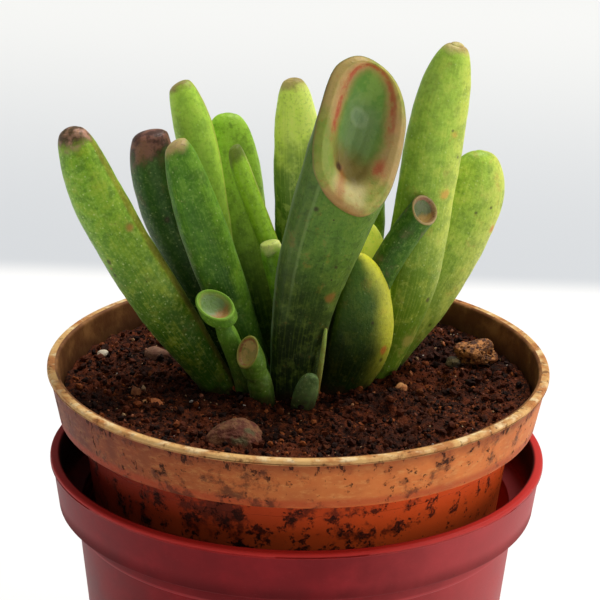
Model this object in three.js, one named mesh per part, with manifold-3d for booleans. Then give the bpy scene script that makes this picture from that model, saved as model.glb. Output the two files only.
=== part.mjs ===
// Hobbit jade in a terracotta-coloured plastic pot that stands in a red plastic pot.
// Millimetres, +Z up. The origin is the centre of the red pot's foot, on the surface it stands on.
// The plant, its soil and its grit are laid out from the centre of the inner pot's rim.

import * as THREE from 'three';
import { mergeVertices } from 'three/addons/utils/BufferGeometryUtils.js';
import Module from 'manifold-3d';

const wasm = await Module();
wasm.setup();

// Driving dimensions of the two pots
const RIM_RADIUS = 45;
const INNER_HEIGHT = 77.7;
const RED_FLOOR_TOP = 3.1;
const CLEARANCE = 0.3;
const RED_RIM_BELOW_INNER_RIM = 17.1;
const WALL = 1.1;
const FLOOR = 1.5;
const LEDGE_WALL = 1.1;
const INNER_TAPER = 0.135;
const RED_TAPER = 0.105;
const FOOT_RING_WIDTH = 2.5;
const FOOT_BEVEL = 0.5;
const LEDGE_ROUNDING = 0.5;
const LIP_BEVEL = 0.4;
const FLOOR_ROUNDING = 0.8;
const POT_SIDES = 36;
const HOLE_SIDES = 10;
const RIM_HEIGHT = RED_FLOOR_TOP + CLEARANCE + INNER_HEIGHT;
const RED_HEIGHT = RIM_HEIGHT - RED_RIM_BELOW_INNER_RIM;

// Driving dimensions of the soil and the plant
// FACET_SAG is how far the flats of the pot's wall stand in from its round.
const SOIL_BELOW_RIM = 5.0;
const EDGE_DIP = 0.6;
const SOIL_SIDES = 44;
const SOIL_RINGS = [0.96, 0.87, 0.78, 0.69, 0.6, 0.5, 0.4, 0.3, 0.17, 0];
const FACET_SAG = 0.17;
const COLLAR_SLOPE = 0.134;
const LEAF_SIDES = 12;
const SMALL_LEAF_SIDES = 10;
const LEAF_GAP = 0.35;

// A repeatable stream of numbers from 0 to 1.
function seeded(seed) {
  let state = seed;
  return () => {
    state = (state * 1664525 + 1013904223) % 4294967296;
    return state / 4294967296;
  };
}

function smooth(x) {
  const t = THREE.MathUtils.clamp(x, 0, 1);
  return t * t * (3 - 2 * t);
}

// Volume by summed tetrahedra: below zero when the faces look inwards.
function signedVolume(position, index) {
  const a = new THREE.Vector3();
  const b = new THREE.Vector3();
  const c = new THREE.Vector3();
  let total = 0;
  for (let i = 0; i < index.count; i += 3) {
    a.fromBufferAttribute(position, index.getX(i));
    b.fromBufferAttribute(position, index.getX(i + 1));
    c.fromBufferAttribute(position, index.getX(i + 2));
    total += a.dot(b.cross(c)) / 6;
  }
  return total;
}

// Merges a geometry's shared vertices and turns its faces outwards.
function closed(geometry) {
  const bare = geometry.clone();
  bare.deleteAttribute('normal');
  bare.deleteAttribute('uv');
  const merged = mergeVertices(bare, 1e-4);
  const index = merged.index.array;
  const kept = [];
  const inwards = signedVolume(merged.attributes.position, merged.index) < 0;
  for (let i = 0; i < index.length; i += 3) {
    const [a, b, c] = [index[i], index[i + 1], index[i + 2]];
    if (a !== b && b !== c && c !== a) {
      kept.push(a, inwards ? c : b, inwards ? b : c);
    }
  }
  merged.setIndex(kept);
  return merged;
}

function toSolid(geometry) {
  const mesh = closed(geometry);
  return new wasm.Manifold(new wasm.Mesh({
    numProp: 3,
    vertProperties: new Float32Array(mesh.attributes.position.array),
    triVerts: new Uint32Array(mesh.index.array),
  }));
}

function toGeometry(solid) {
  const mesh = solid.getMesh();
  const geometry = new THREE.BufferGeometry();
  geometry.setAttribute('position', new THREE.BufferAttribute(mesh.vertProperties, 3));
  geometry.setIndex(new THREE.BufferAttribute(mesh.triVerts, 1));
  geometry.computeVertexNormals();
  return geometry;
}

// The largest of the bodies that a cut leaves.
function largest(solid) {
  return solid.decompose().reduce((best, piece) => (piece.volume() > best.volume() ? piece : best));
}

function join(solids) {
  return solids.reduce((whole, piece) => whole.add(piece));
}

function cut(solid, tools) {
  return tools.reduce((rest, tool) => rest.subtract(tool), solid);
}

// A closed profile of [radius, height] pairs, turned round the Z axis.
function turned(profile, sides) {
  const points = profile.map(([r, z]) => new THREE.Vector2(r, z));
  const geometry = new THREE.LatheGeometry(points, sides);
  geometry.rotateX(Math.PI / 2);
  return geometry;
}

function upright(x, y, low, high, radius, sides) {
  const geometry = new THREE.CylinderGeometry(radius, radius, high - low, sides);
  geometry.rotateX(Math.PI / 2);
  geometry.translate(x, y, (low + high) / 2);
  return geometry;
}

// A thin plastic pot: a collar with a rolled lip over a tapered body, on a low foot ring.
// Heights are measured up from the foot.
function potProfile(pot) {
  const body = (z) => pot.bodyRadius - (pot.ledge - z) * pot.taper;
  const inside = (z) => body(z) - WALL;
  const floorTop = pot.footRecess + FLOOR;
  const lipFoot = pot.height - pot.lip;
  const ringOuter = body(0) - FOOT_BEVEL;
  const ringInner = ringOuter - FOOT_RING_WIDTH;
  return [
    [0, pot.footRecess],
    [ringInner - FOOT_BEVEL, pot.footRecess],
    [ringInner, 0],
    [ringOuter, 0],
    [body(FOOT_BEVEL), FOOT_BEVEL],
    [body(pot.ledge), pot.ledge],
    [pot.collarBottom - LEDGE_ROUNDING, pot.ledge + CLEARANCE],
    [pot.collarBottom, pot.ledge + CLEARANCE + LEDGE_ROUNDING],
    [pot.collarTop, lipFoot - LIP_BEVEL / 2],
    [pot.rim, lipFoot + LIP_BEVEL / 2],
    [pot.rim, pot.height - LIP_BEVEL],
    [pot.rim - LIP_BEVEL, pot.height],
    [pot.mouth + LIP_BEVEL, pot.height],
    [pot.mouth, pot.height - LIP_BEVEL],
    [pot.collarBottom - WALL, pot.ledge + LEDGE_WALL + CLEARANCE],
    [inside(pot.ledge), pot.ledge + LEDGE_WALL],
    [inside(floorTop + FLOOR_ROUNDING), floorTop + FLOOR_ROUNDING],
    [inside(floorTop) - FLOOR_ROUNDING, floorTop],
    [0, floorTop],
  ];
}

// Round drainage holes: one in the middle of the floor and a ring of them round it.
function drainage(pot) {
  const low = pot.footRecess - 1;
  const high = pot.footRecess + FLOOR + 1;
  const holes = [upright(0, 0, low, high, pot.holeRadius, HOLE_SIDES)];
  for (let i = 0; i < pot.holes; i += 1) {
    const angle = (i + 0.5) / pot.holes * 2 * Math.PI;
    const x = pot.holeCircle * Math.cos(angle);
    const y = pot.holeCircle * Math.sin(angle);
    holes.push(upright(x, y, low, high, pot.holeRadius, HOLE_SIDES));
  }
  return join(holes.map(toSolid));
}

const INNER_POT = {
  height: INNER_HEIGHT,
  rim: RIM_RADIUS,
  mouth: RIM_RADIUS - 1.95,
  lip: 1.1,
  collarTop: 44.55,
  collarBottom: 43.05,
  ledge: INNER_HEIGHT - 10.0,
  bodyRadius: 38.8,
  taper: INNER_TAPER,
  footRecess: 1.2,
  holes: 4,
  holeCircle: 17,
  holeRadius: 2.8,
};

const RED_POT = {
  height: RED_HEIGHT,
  rim: 44.6,
  mouth: 42.8,
  lip: 1.2,
  collarTop: 44.15,
  collarBottom: 43.3,
  ledge: RED_HEIGHT - 9.8,
  bodyRadius: 39.9,
  taper: RED_TAPER,
  footRecess: RED_FLOOR_TOP - FLOOR,
  holes: 5,
  holeCircle: 19,
  holeRadius: 3.0,
};

function potGeometry(pot) {
  const shell = toSolid(turned(potProfile(pot), POT_SIDES));
  return toGeometry(shell.subtract(drainage(pot)));
}

// The leaves, from the centre of the inner pot's rim. foot is the buried end and tip the middle
// of the far end. bow moves the leaf's two inner control points sideways, to the right when above
// zero. face is the heading that the broad side looks to, in degrees from the front towards the
// right. neck is the foot's share of the full girth, reached at swell. From shoulder on, the leaf
// rounds in to end, its share at the tip. A trumpet leaf has a hollow in a rolled lip instead, on
// an end cut aslant: cut says how far it drops along the leaf for each millimetre across it.
const LEAVES = [
  {
    name: 'leaf_trumpet_large',
    foot: [-0.5, -4, -8],
    tip: [9.7, -9, 45.2],
    bow: [-5, -2],
    width: 15.2,
    thick: 9.6,
    face: 6,
    neck: 0.54,
    swell: 0.9,
    square: 2.4,
    flare: 0.09,
    flareFrom: 0.72,
    cut: [-0.35, -2.25],
    cutFrom: 0.3,
    hollow: 3.4,
    lip: 0.9,
    squeeze: 1.9,
  },
  {
    name: 'leaf_left_long',
    foot: [-11.5, -1, -9],
    tip: [-40, -5, 44],
    bow: [-1, -4.5],
    width: 9.8,
    thick: 8.4,
    face: -20,
    neck: 0.6,
    swell: 0.45,
    shoulder: 0.7,
    end: 0.32,
    dome: 0.5,
  },
  {
    name: 'leaf_right_tall',
    foot: [13, 6, -8],
    tip: [26.7, 6, 57.4],
    bow: [5.5, -1.5],
    width: 10.4,
    thick: 7.8,
    face: 10,
    neck: 0.5,
    swell: 0.4,
    shoulder: 0.72,
    end: 0.25,
    dome: 0.6,
  },
  {
    name: 'leaf_front_oval',
    foot: [5.5, -1.5, -8],
    tip: [9.3, -3, 21.4],
    bow: [4.5, 5],
    width: 12.8,
    thick: 7.6,
    face: 20,
    neck: 0.6,
    swell: 0.5,
    shoulder: 0.3,
    end: 0.12,
    dome: 0.2,
  },
  {
    name: 'leaf_left_front',
    foot: [-5.5, 0.5, -9],
    tip: [-22.3, 0, 40.3],
    bow: [0.3, -0.7],
    width: 8.4,
    thick: 7.6,
    face: 0,
    neck: 0.6,
    swell: 0.6,
    shoulder: 0.6,
    end: 0.38,
    cut: [0.33, 0],
    cutFrom: 0.6,
    dome: 0.5,
  },
  {
    name: 'offset_scarred',
    foot: [-6, -7, -8],
    tip: [-8.9, -10, 5.4],
    bow: [1, 1],
    width: 4.5,
    thick: 4.3,
    face: -25,
    neck: 0.95,
    swell: 0.4,
    cut: [0.2, -0.75],
    cutFrom: 0.3,
    hollow: 0.5,
    lip: 0.2,
    squeeze: 1,
    small: true,
  },
  {
    name: 'offset_trumpet',
    foot: [-9, -3.4, -8],
    tip: [-14.8, -8, 13.3],
    bow: [2, 0.5],
    width: 3.1,
    thick: 3.1,
    face: 15,
    neck: 1,
    swell: 0.7,
    flare: 0.9,
    flareFrom: 0.76,
    cut: [-0.4, -0.6],
    cutFrom: 0.7,
    hollow: 0.9,
    lip: 0.25,
    squeeze: 1,
    small: true,
  },
  {
    name: 'leaf_trumpet_right',
    foot: [8.5, 2, -8],
    tip: [21.6, 0, 28.9],
    bow: [-4, -4],
    width: 5.4,
    thick: 5.2,
    face: 25,
    neck: 0.7,
    swell: 0.4,
    cut: [0.15, -0.6],
    cutFrom: 0.7,
    hollow: 0.8,
    lip: 0.25,
    squeeze: 1,
    small: true,
  },
  {
    name: 'leaf_yellow',
    foot: [7.5, 4, -8],
    tip: [11.2, 3.5, 25.2],
    bow: [4.5, 4],
    width: 9,
    thick: 5.6,
    face: 20,
    neck: 0.6,
    swell: 0.5,
    shoulder: 0.4,
    end: 0.12,
    dome: 0.2,
  },
  {
    name: 'leaf_left_dark',
    foot: [-10, 6.5, -8],
    tip: [-27, 6, 40],
    bow: [2, -5.5],
    width: 8.7,
    thick: 7.4,
    face: -10,
    neck: 0.7,
    swell: 0.4,
    shoulder: 0.74,
    end: 0.68,
    cut: [0.2, 0],
    cutFrom: 0.6,
    dome: 0.8,
  },
  {
    name: 'leaf_right_outer',
    foot: [13.5, 10, -8],
    tip: [32, 16, 35],
    bow: [-1.5, 6],
    width: 13,
    thick: 7.4,
    face: 20,
    neck: 0.6,
    swell: 0.4,
    shoulder: 0.78,
    end: 0.14,
    dome: 0.2,
  },
  {
    name: 'leaf_left_tall',
    foot: [-7.5, 9, -8],
    tip: [-22.2, 14, 47],
    bow: [-5.5, 2.5],
    width: 7.2,
    thick: 6.6,
    face: 0,
    neck: 0.7,
    swell: 0.4,
    shoulder: 0.78,
    end: 0.46,
    cut: [0.12, 0],
    cutFrom: 0.6,
    dome: 0.4,
  },
  {
    name: 'leaf_back_flat_tip',
    foot: [1, 12, -8],
    tip: [-2, 14, 48.3],
    bow: [-0.5, 1.5],
    width: 9.2,
    thick: 7.2,
    face: 0,
    neck: 0.6,
    swell: 0.4,
    shoulder: 0.62,
    end: 0.26,
    dome: 0.3,
  },
  {
    name: 'leaf_back_broad',
    foot: [-4.5, 12.5, -8],
    tip: [-13.5, 18, 40.5],
    bow: [-2.5, -3],
    width: 11.4,
    thick: 7,
    face: 0,
    neck: 0.6,
    swell: 0.4,
    shoulder: 0.72,
    end: 0.18,
    dome: 0.2,
  },
  {
    name: 'leaf_behind_trumpet',
    foot: [5.5, 9, -8],
    tip: [12.2, 10, 33],
    bow: [1.5, 2],
    width: 7.4,
    thick: 5,
    face: 0,
    neck: 0.6,
    swell: 0.5,
    shoulder: 0.6,
    end: 0.2,
    dome: 0.2,
  },
  {
    name: 'leaf_slim',
    foot: [-1, 6.8, -8],
    tip: [-12.2, 6.6, 37.7],
    bow: [5.5, 1],
    width: 3.6,
    thick: 4.4,
    face: 0,
    neck: 0.7,
    swell: 0.4,
    shoulder: 0.86,
    end: 0.5,
    cut: [0.4, 0],
    cutFrom: 0.8,
    dome: 0.3,
    small: true,
  },
  {
    name: 'leaf_stub',
    foot: [0.2, 1.8, -8],
    tip: [-5.5, 2.2, 21.6],
    bow: [1, 0.5],
    width: 4,
    thick: 3.8,
    face: 0,
    neck: 0.7,
    swell: 0.8,
    shoulder: 0.94,
    end: 0.8,
    dome: 0.25,
    small: true,
  },
  {
    name: 'bud_front',
    foot: [0.5, -8.4, -8.5],
    tip: [2.5, -11, 1.8],
    bow: [-0.4, -0.6],
    width: 4.4,
    thick: 2.4,
    face: 10,
    neck: 0.7,
    swell: 0.4,
    shoulder: 0.5,
    end: 0.3,
    dome: 0.2,
    small: true,
  },
  {
    name: 'dry_sliver',
    foot: [2.6, -6.6, -8],
    tip: [4.7, -8, 9.3],
    bow: [0.2, 0.2],
    width: 1,
    thick: 0.8,
    face: 10,
    neck: 1,
    swell: 0.4,
    shoulder: 0.5,
    end: 0.4,
    dome: 0.1,
    small: true,
  },
];

const WHOLE = {
  shoulder: 1,
  end: 1,
  cut: [0, 0],
  cutFrom: 0.5,
  hollow: 0,
  square: 2,
  squeeze: 1,
  flare: 0,
  flareFrom: 0.9,
};
const RINGS = 8;
const SMALL_RINGS = 6;
// Body rings close up towards a rounded tip by this power.
const TIP_CROWDING = 1.45;
// The turned-in end of a trumpet: share of the girth, then height in lips or depth in hollows.
const TRUMPET_END = [
  { k: 0.93, lips: 1, hollows: 0 },
  { k: 0.81, lips: 0.7, hollows: 0 },
  { k: 0.64, lips: 0, hollows: 0.6 },
  { k: 0.34, lips: 0, hollows: 0.95 },
  { k: 0, lips: 0, hollows: 1 },
];

// The middle line of a leaf, from its foot to its tip.
function middleLine(leaf) {
  const foot = new THREE.Vector3(...leaf.foot);
  const tip = new THREE.Vector3(...leaf.tip);
  const chord = tip.clone().sub(foot);
  const side = new THREE.Vector3(chord.z, 0, -chord.x).normalize();
  const lower = foot.clone().addScaledVector(chord, 1 / 3).addScaledVector(side, leaf.bow[0]);
  const upper = foot.clone().addScaledVector(chord, 2 / 3).addScaledVector(side, leaf.bow[1]);
  return new THREE.CubicBezierCurve3(foot, lower, upper, tip);
}

// The share of its full width that a leaf has at s, from 0 at the foot to 1 at the tip.
function girth(leaf, s) {
  const waist = leaf.neck + (1 - leaf.neck) * smooth(s / leaf.swell);
  const past = Math.max(0, (s - leaf.shoulder) / (1 - leaf.shoulder || 1));
  const rounding = leaf.end + (1 - leaf.end) * Math.sqrt(Math.max(0, 1 - past ** 2));
  const spread = Math.max(0, (s - leaf.flareFrom) / (1 - leaf.flareFrom));
  return waist * (leaf.shoulder < 1 ? rounding : 1) * (1 + leaf.flare * spread ** 2);
}

// The rings that a leaf is lofted through: place along it, share of its girth, and how far the
// ring stands off along the leaf's end. grow swells the whole leaf, for the room left round it.
function leafRings(leaf, grow) {
  const count = leaf.small ? SMALL_RINGS : RINGS;
  const heel = leaf.width * leaf.neck * 0.25;
  const rings = [{ s: 0, k: 0, heel: heel + grow }];
  for (let i = 0; i <= count; i += 1) {
    const u = i / count;
    rings.push({ s: leaf.shoulder < 1 ? 1 - (1 - u) ** TIP_CROWDING : u, k: 1 });
  }
  if (leaf.hollow > 0 && grow === 0) {
    for (const { k, lips, hollows } of TRUMPET_END) {
      rings.push({ s: 1, k, push: leaf.lip * lips - leaf.hollow * hollows });
    }
  } else {
    const top = (leaf.hollow > 0 ? leaf.lip : leaf.dome) + grow;
    rings.push({ s: 1, k: 0.74, push: top * 0.75 });
    rings.push({ s: 1, k: 0, push: top });
  }
  return rings;
}

// A turned form with a ring of points at each level, to be bent along a curve.
function stacked(rings, sides) {
  const levels = rings.map((ring, i) => new THREE.Vector2(ring.k, i));
  return new THREE.LatheGeometry(levels, sides);
}

// Bends a turned form of unit size along the leaf's middle line.
function leafGeometry(given, grow = 0) {
  const leaf = { ...WHOLE, ...given };
  const rings = leafRings(leaf, grow);
  const sides = leaf.small ? SMALL_LEAF_SIDES : LEAF_SIDES;
  const line = middleLine(leaf);
  const heading = THREE.MathUtils.degToRad(leaf.face);
  const outlook = new THREE.Vector3(Math.sin(heading), -Math.cos(heading), 0);
  const geometry = stacked(rings, sides);
  const position = geometry.attributes.position;
  const soften = (v) => Math.sign(v) * Math.abs(v) ** (2 / leaf.square);
  for (let i = 0; i < position.count; i += 1) {
    const ring = rings[i % rings.length];
    const angle = Math.floor(i / rings.length) / sides * 2 * Math.PI;
    const along = line.getTangent(ring.s);
    const front = outlook.clone().addScaledVector(along, -outlook.dot(along)).normalize();
    const across = along.clone().cross(front);
    const size = girth(leaf, ring.s);
    const squeeze = ring.push === undefined ? 1 : leaf.squeeze;
    const x = (leaf.width / 2 * size + grow) * ring.k ** squeeze * soften(Math.cos(angle));
    const y = (leaf.thick / 2 * size + grow) * ring.k * soften(Math.sin(angle));
    const slant = smooth((ring.s - leaf.cutFrom) / (1 - leaf.cutFrom));
    const off = along.clone().addScaledVector(across, -leaf.cut[0]).addScaledVector(front, -leaf.cut[1]);
    const point = line.getPoint(ring.s)
      .addScaledVector(across, x)
      .addScaledVector(front, y)
      .addScaledVector(along, (leaf.cut[0] * x + leaf.cut[1] * y) * slant - (ring.heel ?? 0))
      .addScaledVector(off.normalize(), ring.push ?? 0);
    position.setXYZ(i, point.x, point.y, point.z);
  }
  return geometry;
}

// The short rootstock under the soil: a stock that forks into stubby shoots, one under each
// group of leaves, and roots that spread below it. A limb tapers between two radii.
const STOCK = { from: [0, 3, -26], to: [0, 3, -14], radii: [3.2, 5.2] };
const SHOOTS = [
  { to: [-8.8, -0.5, -8.2], radius: 3.4 },
  { to: [-7.2, 8.5, -8.2], radius: 3.4 },
  { to: [-4.6, -5, -9], radius: 2.2 },
  { to: [0.8, -4, -8.6], radius: 3.2 },
  { to: [0.4, 9.2, -8.4], radius: 3.2 },
  { to: [5.6, -0.4, -8.8], radius: 2.8 },
  { to: [11.2, 6, -8.6], radius: 3.8 },
];
const ROOTS = [
  { heading: 25, reach: 22, depth: -44, radius: 1.3 },
  { heading: 120, reach: 20, depth: -50, radius: 1.3 },
  { heading: 205, reach: 23, depth: -42, radius: 1.4 },
  { heading: 300, reach: 19, depth: -54, radius: 1.3 },
];

// A round limb along a curve, with a rounded point at each end.
function limbGeometry(curve, radii, sides, count, grow) {
  const rings = [{ s: 0, k: 0, lift: -0.5 }];
  for (let i = 0; i <= count; i += 1) {
    rings.push({ s: i / count, k: 1, lift: 0 });
  }
  rings.push({ s: 1, k: 0, lift: 0.4 });
  const geometry = stacked(rings, sides);
  const position = geometry.attributes.position;
  for (let i = 0; i < position.count; i += 1) {
    const ring = rings[i % rings.length];
    const angle = Math.floor(i / rings.length) / sides * 2 * Math.PI;
    const along = curve.getTangent(ring.s);
    const east = new THREE.Vector3(0, 1, 0).cross(along).normalize();
    const north = along.clone().cross(east);
    const radius = THREE.MathUtils.lerp(radii[0], radii[1], ring.s);
    const point = curve.getPoint(ring.s)
      .addScaledVector(east, (radius + grow) * ring.k * Math.cos(angle))
      .addScaledVector(north, (radius + grow) * ring.k * Math.sin(angle))
      .addScaledVector(along, ring.lift * radius + Math.sign(ring.lift) * grow);
    position.setXYZ(i, point.x, point.y, point.z);
  }
  return geometry;
}

function rootstock(grow) {
  const low = new THREE.Vector3(...STOCK.from);
  const high = new THREE.Vector3(...STOCK.to);
  const limbs = [limbGeometry(new THREE.LineCurve3(low, high), STOCK.radii, 10, 1, grow)];
  for (const shoot of SHOOTS) {
    const end = new THREE.Vector3(...shoot.to);
    const knee = new THREE.Vector3(end.x * 0.8, end.y * 0.8 + high.y * 0.2, high.z + 0.5);
    const curve = new THREE.QuadraticBezierCurve3(high.clone().setZ(high.z - 3), knee, end);
    limbs.push(limbGeometry(curve, [3.4, shoot.radius], 8, 2, grow));
  }
  for (const root of ROOTS) {
    const angle = THREE.MathUtils.degToRad(root.heading);
    const end = new THREE.Vector3(root.reach * Math.cos(angle), root.reach * Math.sin(angle), root.depth);
    const knee = new THREE.Vector3(end.x * 0.75, end.y * 0.75, low.z - 2);
    const curve = new THREE.QuadraticBezierCurve3(low.clone().setZ(low.z + 5), knee, end);
    limbs.push(limbGeometry(curve, [root.radius * 1.7, root.radius * 0.5], 6, 3, grow));
  }
  return join(limbs.map(toSolid));
}

// Stones and coarse grit that lie in the soil's surface. at is the middle of each from the
// centre of the rim, size its three half lengths, and turn its heading in degrees. A stone's
// seed draws its bumps, and rough is how far they stand out.
const STONES = [
  {
    name: 'stone_front',
    at: [-10.6, -24.6, -5.6],
    size: [4.7, 3.4, 3.1],
    turn: -18,
    seed: 11,
    rough: 0.12,
  },
  {
    name: 'rock_porous',
    at: [32.6, 14.4, -3.6],
    size: [3.5, 2.6, 2.4],
    turn: 12,
    seed: 23,
    rough: 0.24,
  },
  {
    name: 'rock_dark',
    at: [28.4, 12.2, -4.8],
    size: [1.6, 1.3, 1.2],
    turn: 40,
    seed: 31,
    rough: 0.2,
  },
  {
    name: 'pebble_left',
    at: [-26.2, 13.6, -4.9],
    size: [2.3, 1.8, 1.5],
    turn: 5,
    seed: 47,
    rough: 0.1,
  },
  {
    name: 'grit_white',
    at: [-36.2, 13.4, -4.8],
    size: [1.15, 0.9, 0.8],
    turn: 30,
    seed: 53,
    rough: 0.12,
  },
  {
    name: 'grit_tan',
    at: [-28.9, -4.6, -5.1],
    size: [1.1, 0.9, 0.9],
    turn: 80,
    seed: 61,
    rough: 0.15,
  },
  {
    name: 'chip_orange',
    at: [-25.6, -9.6, -5.2],
    size: [1.9, 0.9, 0.8],
    turn: -12,
    seed: 71,
    rough: 0.15,
  },
  {
    name: 'pebble_orange',
    at: [18.6, -0.6, -5.0],
    size: [1.2, 1.0, 0.9],
    turn: 20,
    seed: 83,
    rough: 0.14,
  },
];
// A stone whose longest half length is over this is split once more.
const LARGE_STONE = 3;
const BUMPS = 6;

function stoneGeometry(stone, grow = 0) {
  const random = seeded(stone.seed);
  const waves = Array.from({ length: BUMPS }, () => ({
    direction: new THREE.Vector3(random() - 0.5, random() - 0.5, random() - 0.5).normalize(),
    pitch: 2 + random() * 4,
    phase: random() * 2 * Math.PI,
  }));
  const detail = stone.size[0] > LARGE_STONE ? 2 : 1;
  const geometry = closed(new THREE.IcosahedronGeometry(1, detail));
  const position = geometry.attributes.position;
  const point = new THREE.Vector3();
  for (let i = 0; i < position.count; i += 1) {
    point.fromBufferAttribute(position, i);
    let relief = 0;
    for (const wave of waves) {
      relief += Math.sin(point.dot(wave.direction) * wave.pitch + wave.phase);
    }
    point.multiplyScalar(1 + relief * stone.rough * 2 / BUMPS);
    point.set(
      point.x * (stone.size[0] + grow),
      point.y * (stone.size[1] + grow),
      point.z * (stone.size[2] + grow),
    );
    position.setXYZ(i, point.x, point.y, point.z);
  }
  geometry.rotateZ(THREE.MathUtils.degToRad(stone.turn));
  geometry.translate(...stone.at);
  return geometry;
}

// Height of the soil's surface at a place: long swells, low clods, and a slight rise to the plant.
function soilTop(x, y) {
  const swell = 0.55 * Math.sin(x * 0.13 + 1.2) * Math.cos(y * 0.15 - 0.6);
  const clods = 0.45 * Math.sin(x * 0.52 + y * 0.31) * Math.sin(y * 0.47 - x * 0.22 + 1.9);
  const crumbs = 0.25 * Math.sin(x * 1.13 - y * 0.74 + 0.4) * Math.cos(y * 1.21 + x * 0.38);
  const rise = 0.9 * Math.exp(-(x * x + (y - 3) * (y - 3)) / 260);
  return -SOIL_BELOW_RIM + swell + clods + crumbs + rise;
}

// The soil fills the inner pot from its floor, past the ledge under the collar, to the surface.
function soilGeometry() {
  const drop = (z) => z - INNER_HEIGHT;
  const gap = CLEARANCE + FACET_SAG;
  const inside = (z) => INNER_POT.bodyRadius - (INNER_POT.ledge - z) * INNER_TAPER - WALL - gap;
  const floor = INNER_POT.footRecess + FLOOR + CLEARANCE;
  const corner = floor + FLOOR_ROUNDING;
  const collar = INNER_POT.collarBottom - WALL - gap;
  const edge = SOIL_BELOW_RIM + EDGE_DIP;
  const mouth = INNER_POT.mouth - gap - edge * COLLAR_SLOPE;
  const side = [
    [0, drop(floor)],
    [inside(floor) - 1.5 * FLOOR_ROUNDING, drop(floor)],
    [inside(corner), drop(corner)],
    [inside(INNER_POT.ledge), drop(INNER_POT.ledge + LEDGE_WALL + CLEARANCE)],
    [collar, drop(INNER_POT.ledge + LEDGE_WALL + 2 * CLEARANCE)],
    [mouth, -edge],
  ];
  const top = SOIL_RINGS.map((share) => [mouth * share, 0]);
  const geometry = turned([...side, ...top], SOIL_SIDES);
  const position = geometry.attributes.position;
  for (let i = 0; i < position.count; i += 1) {
    if (i % (side.length + top.length) >= side.length) {
      position.setZ(i, soilTop(position.getX(i), position.getY(i)));
    }
  }
  return geometry;
}

// Each leaf is trimmed clear of those placed before it, and the rootstock of all of them.
const leafSolids = [];
const leafRooms = [];
for (const leaf of LEAVES) {
  const solid = cut(toSolid(leafGeometry(leaf)), leafRooms);
  leafSolids.push(largest(solid));
  leafRooms.push(toSolid(leafGeometry(leaf, LEAF_GAP)));
}
const rootstockSolid = largest(cut(rootstock(0), leafRooms));
const stoneRooms = STONES.map((stone) => toSolid(stoneGeometry(stone, CLEARANCE)));
const soilTools = [...leafRooms, rootstock(CLEARANCE), ...stoneRooms];
const soilSolid = largest(cut(toSolid(soilGeometry()), soilTools));

function finish(color, roughness) {
  return new THREE.MeshStandardMaterial({ color, roughness, metalness: 0 });
}

const FINISH = {
  innerPot: finish(0xb8692f, 0.6),
  redPot: finish(0x8e1f1c, 0.5),
  soil: finish(0x3a1d14, 0.95),
  rootstock: finish(0x8a7048, 0.85),
  leaf: finish(0x5f8f2c, 0.45),
  paleLeaf: finish(0xa5b83a, 0.45),
  dryLeaf: finish(0x9a9464, 0.8),
  redStone: finish(0x7a4a3a, 0.8),
  tanStone: finish(0xa07a52, 0.9),
  darkStone: finish(0x46402c, 0.9),
  whiteStone: finish(0xd8cfc0, 0.8),
  orangeStone: finish(0xc0743c, 0.8),
};
const LEAF_FINISH = { leaf_yellow: 'paleLeaf', leaf_front_oval: 'paleLeaf', dry_sliver: 'dryLeaf' };
const STONE_FINISH = {
  stone_front: 'redStone',
  rock_porous: 'tanStone',
  rock_dark: 'darkStone',
  pebble_left: 'redStone',
  grit_white: 'whiteStone',
  grit_tan: 'tanStone',
  chip_orange: 'orangeStone',
  pebble_orange: 'orangeStone',
};

function named(name, geometry, material) {
  const mesh = new THREE.Mesh(geometry, material);
  mesh.name = name;
  return mesh;
}

const part = new THREE.Group();
part.add(named('pot_red', potGeometry(RED_POT), FINISH.redPot));

const innerPot = named('pot_inner', potGeometry(INNER_POT), FINISH.innerPot);
innerPot.position.z = RIM_HEIGHT - INNER_HEIGHT;
part.add(innerPot);

const planting = new THREE.Group();
planting.position.z = RIM_HEIGHT;
planting.add(named('soil', toGeometry(soilSolid), FINISH.soil));
planting.add(named('rootstock', toGeometry(rootstockSolid), FINISH.rootstock));
LEAVES.forEach((leaf, i) => {
  const material = FINISH[LEAF_FINISH[leaf.name] ?? 'leaf'];
  planting.add(named(leaf.name, toGeometry(leafSolids[i]), material));
});
for (const stone of STONES) {
  planting.add(named(stone.name, stoneGeometry(stone), FINISH[STONE_FINISH[stone.name]]));
}
part.add(planting);

export default part;
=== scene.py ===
import math
from functools import partialmethod
from types import SimpleNamespace

import bmesh
import bpy
import numpy as np
from mathutils import Matrix, Vector, noise


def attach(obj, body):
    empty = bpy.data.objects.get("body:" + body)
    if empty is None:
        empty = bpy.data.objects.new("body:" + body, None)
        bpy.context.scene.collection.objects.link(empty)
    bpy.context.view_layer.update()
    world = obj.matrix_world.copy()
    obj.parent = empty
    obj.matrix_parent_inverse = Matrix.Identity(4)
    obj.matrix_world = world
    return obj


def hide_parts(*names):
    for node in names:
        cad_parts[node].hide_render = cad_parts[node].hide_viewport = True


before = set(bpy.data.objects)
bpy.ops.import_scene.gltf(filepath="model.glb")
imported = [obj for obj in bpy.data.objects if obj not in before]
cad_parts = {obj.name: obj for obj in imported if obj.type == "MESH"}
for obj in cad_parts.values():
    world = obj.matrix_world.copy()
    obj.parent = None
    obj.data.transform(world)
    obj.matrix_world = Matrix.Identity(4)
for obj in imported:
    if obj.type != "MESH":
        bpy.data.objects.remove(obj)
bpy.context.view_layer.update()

# The red outer pot
# A thin moulded plastic pot: a tapered body on a low foot ring, with a stepped collar. Its dull
# red skin is scuffed and lightly dusted. Painted highlights make its rim, its right side and two
# lines at the collar's foot lighter, and painted shade, with some dirt, darkens its wall inside.

MM = 0.001


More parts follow.
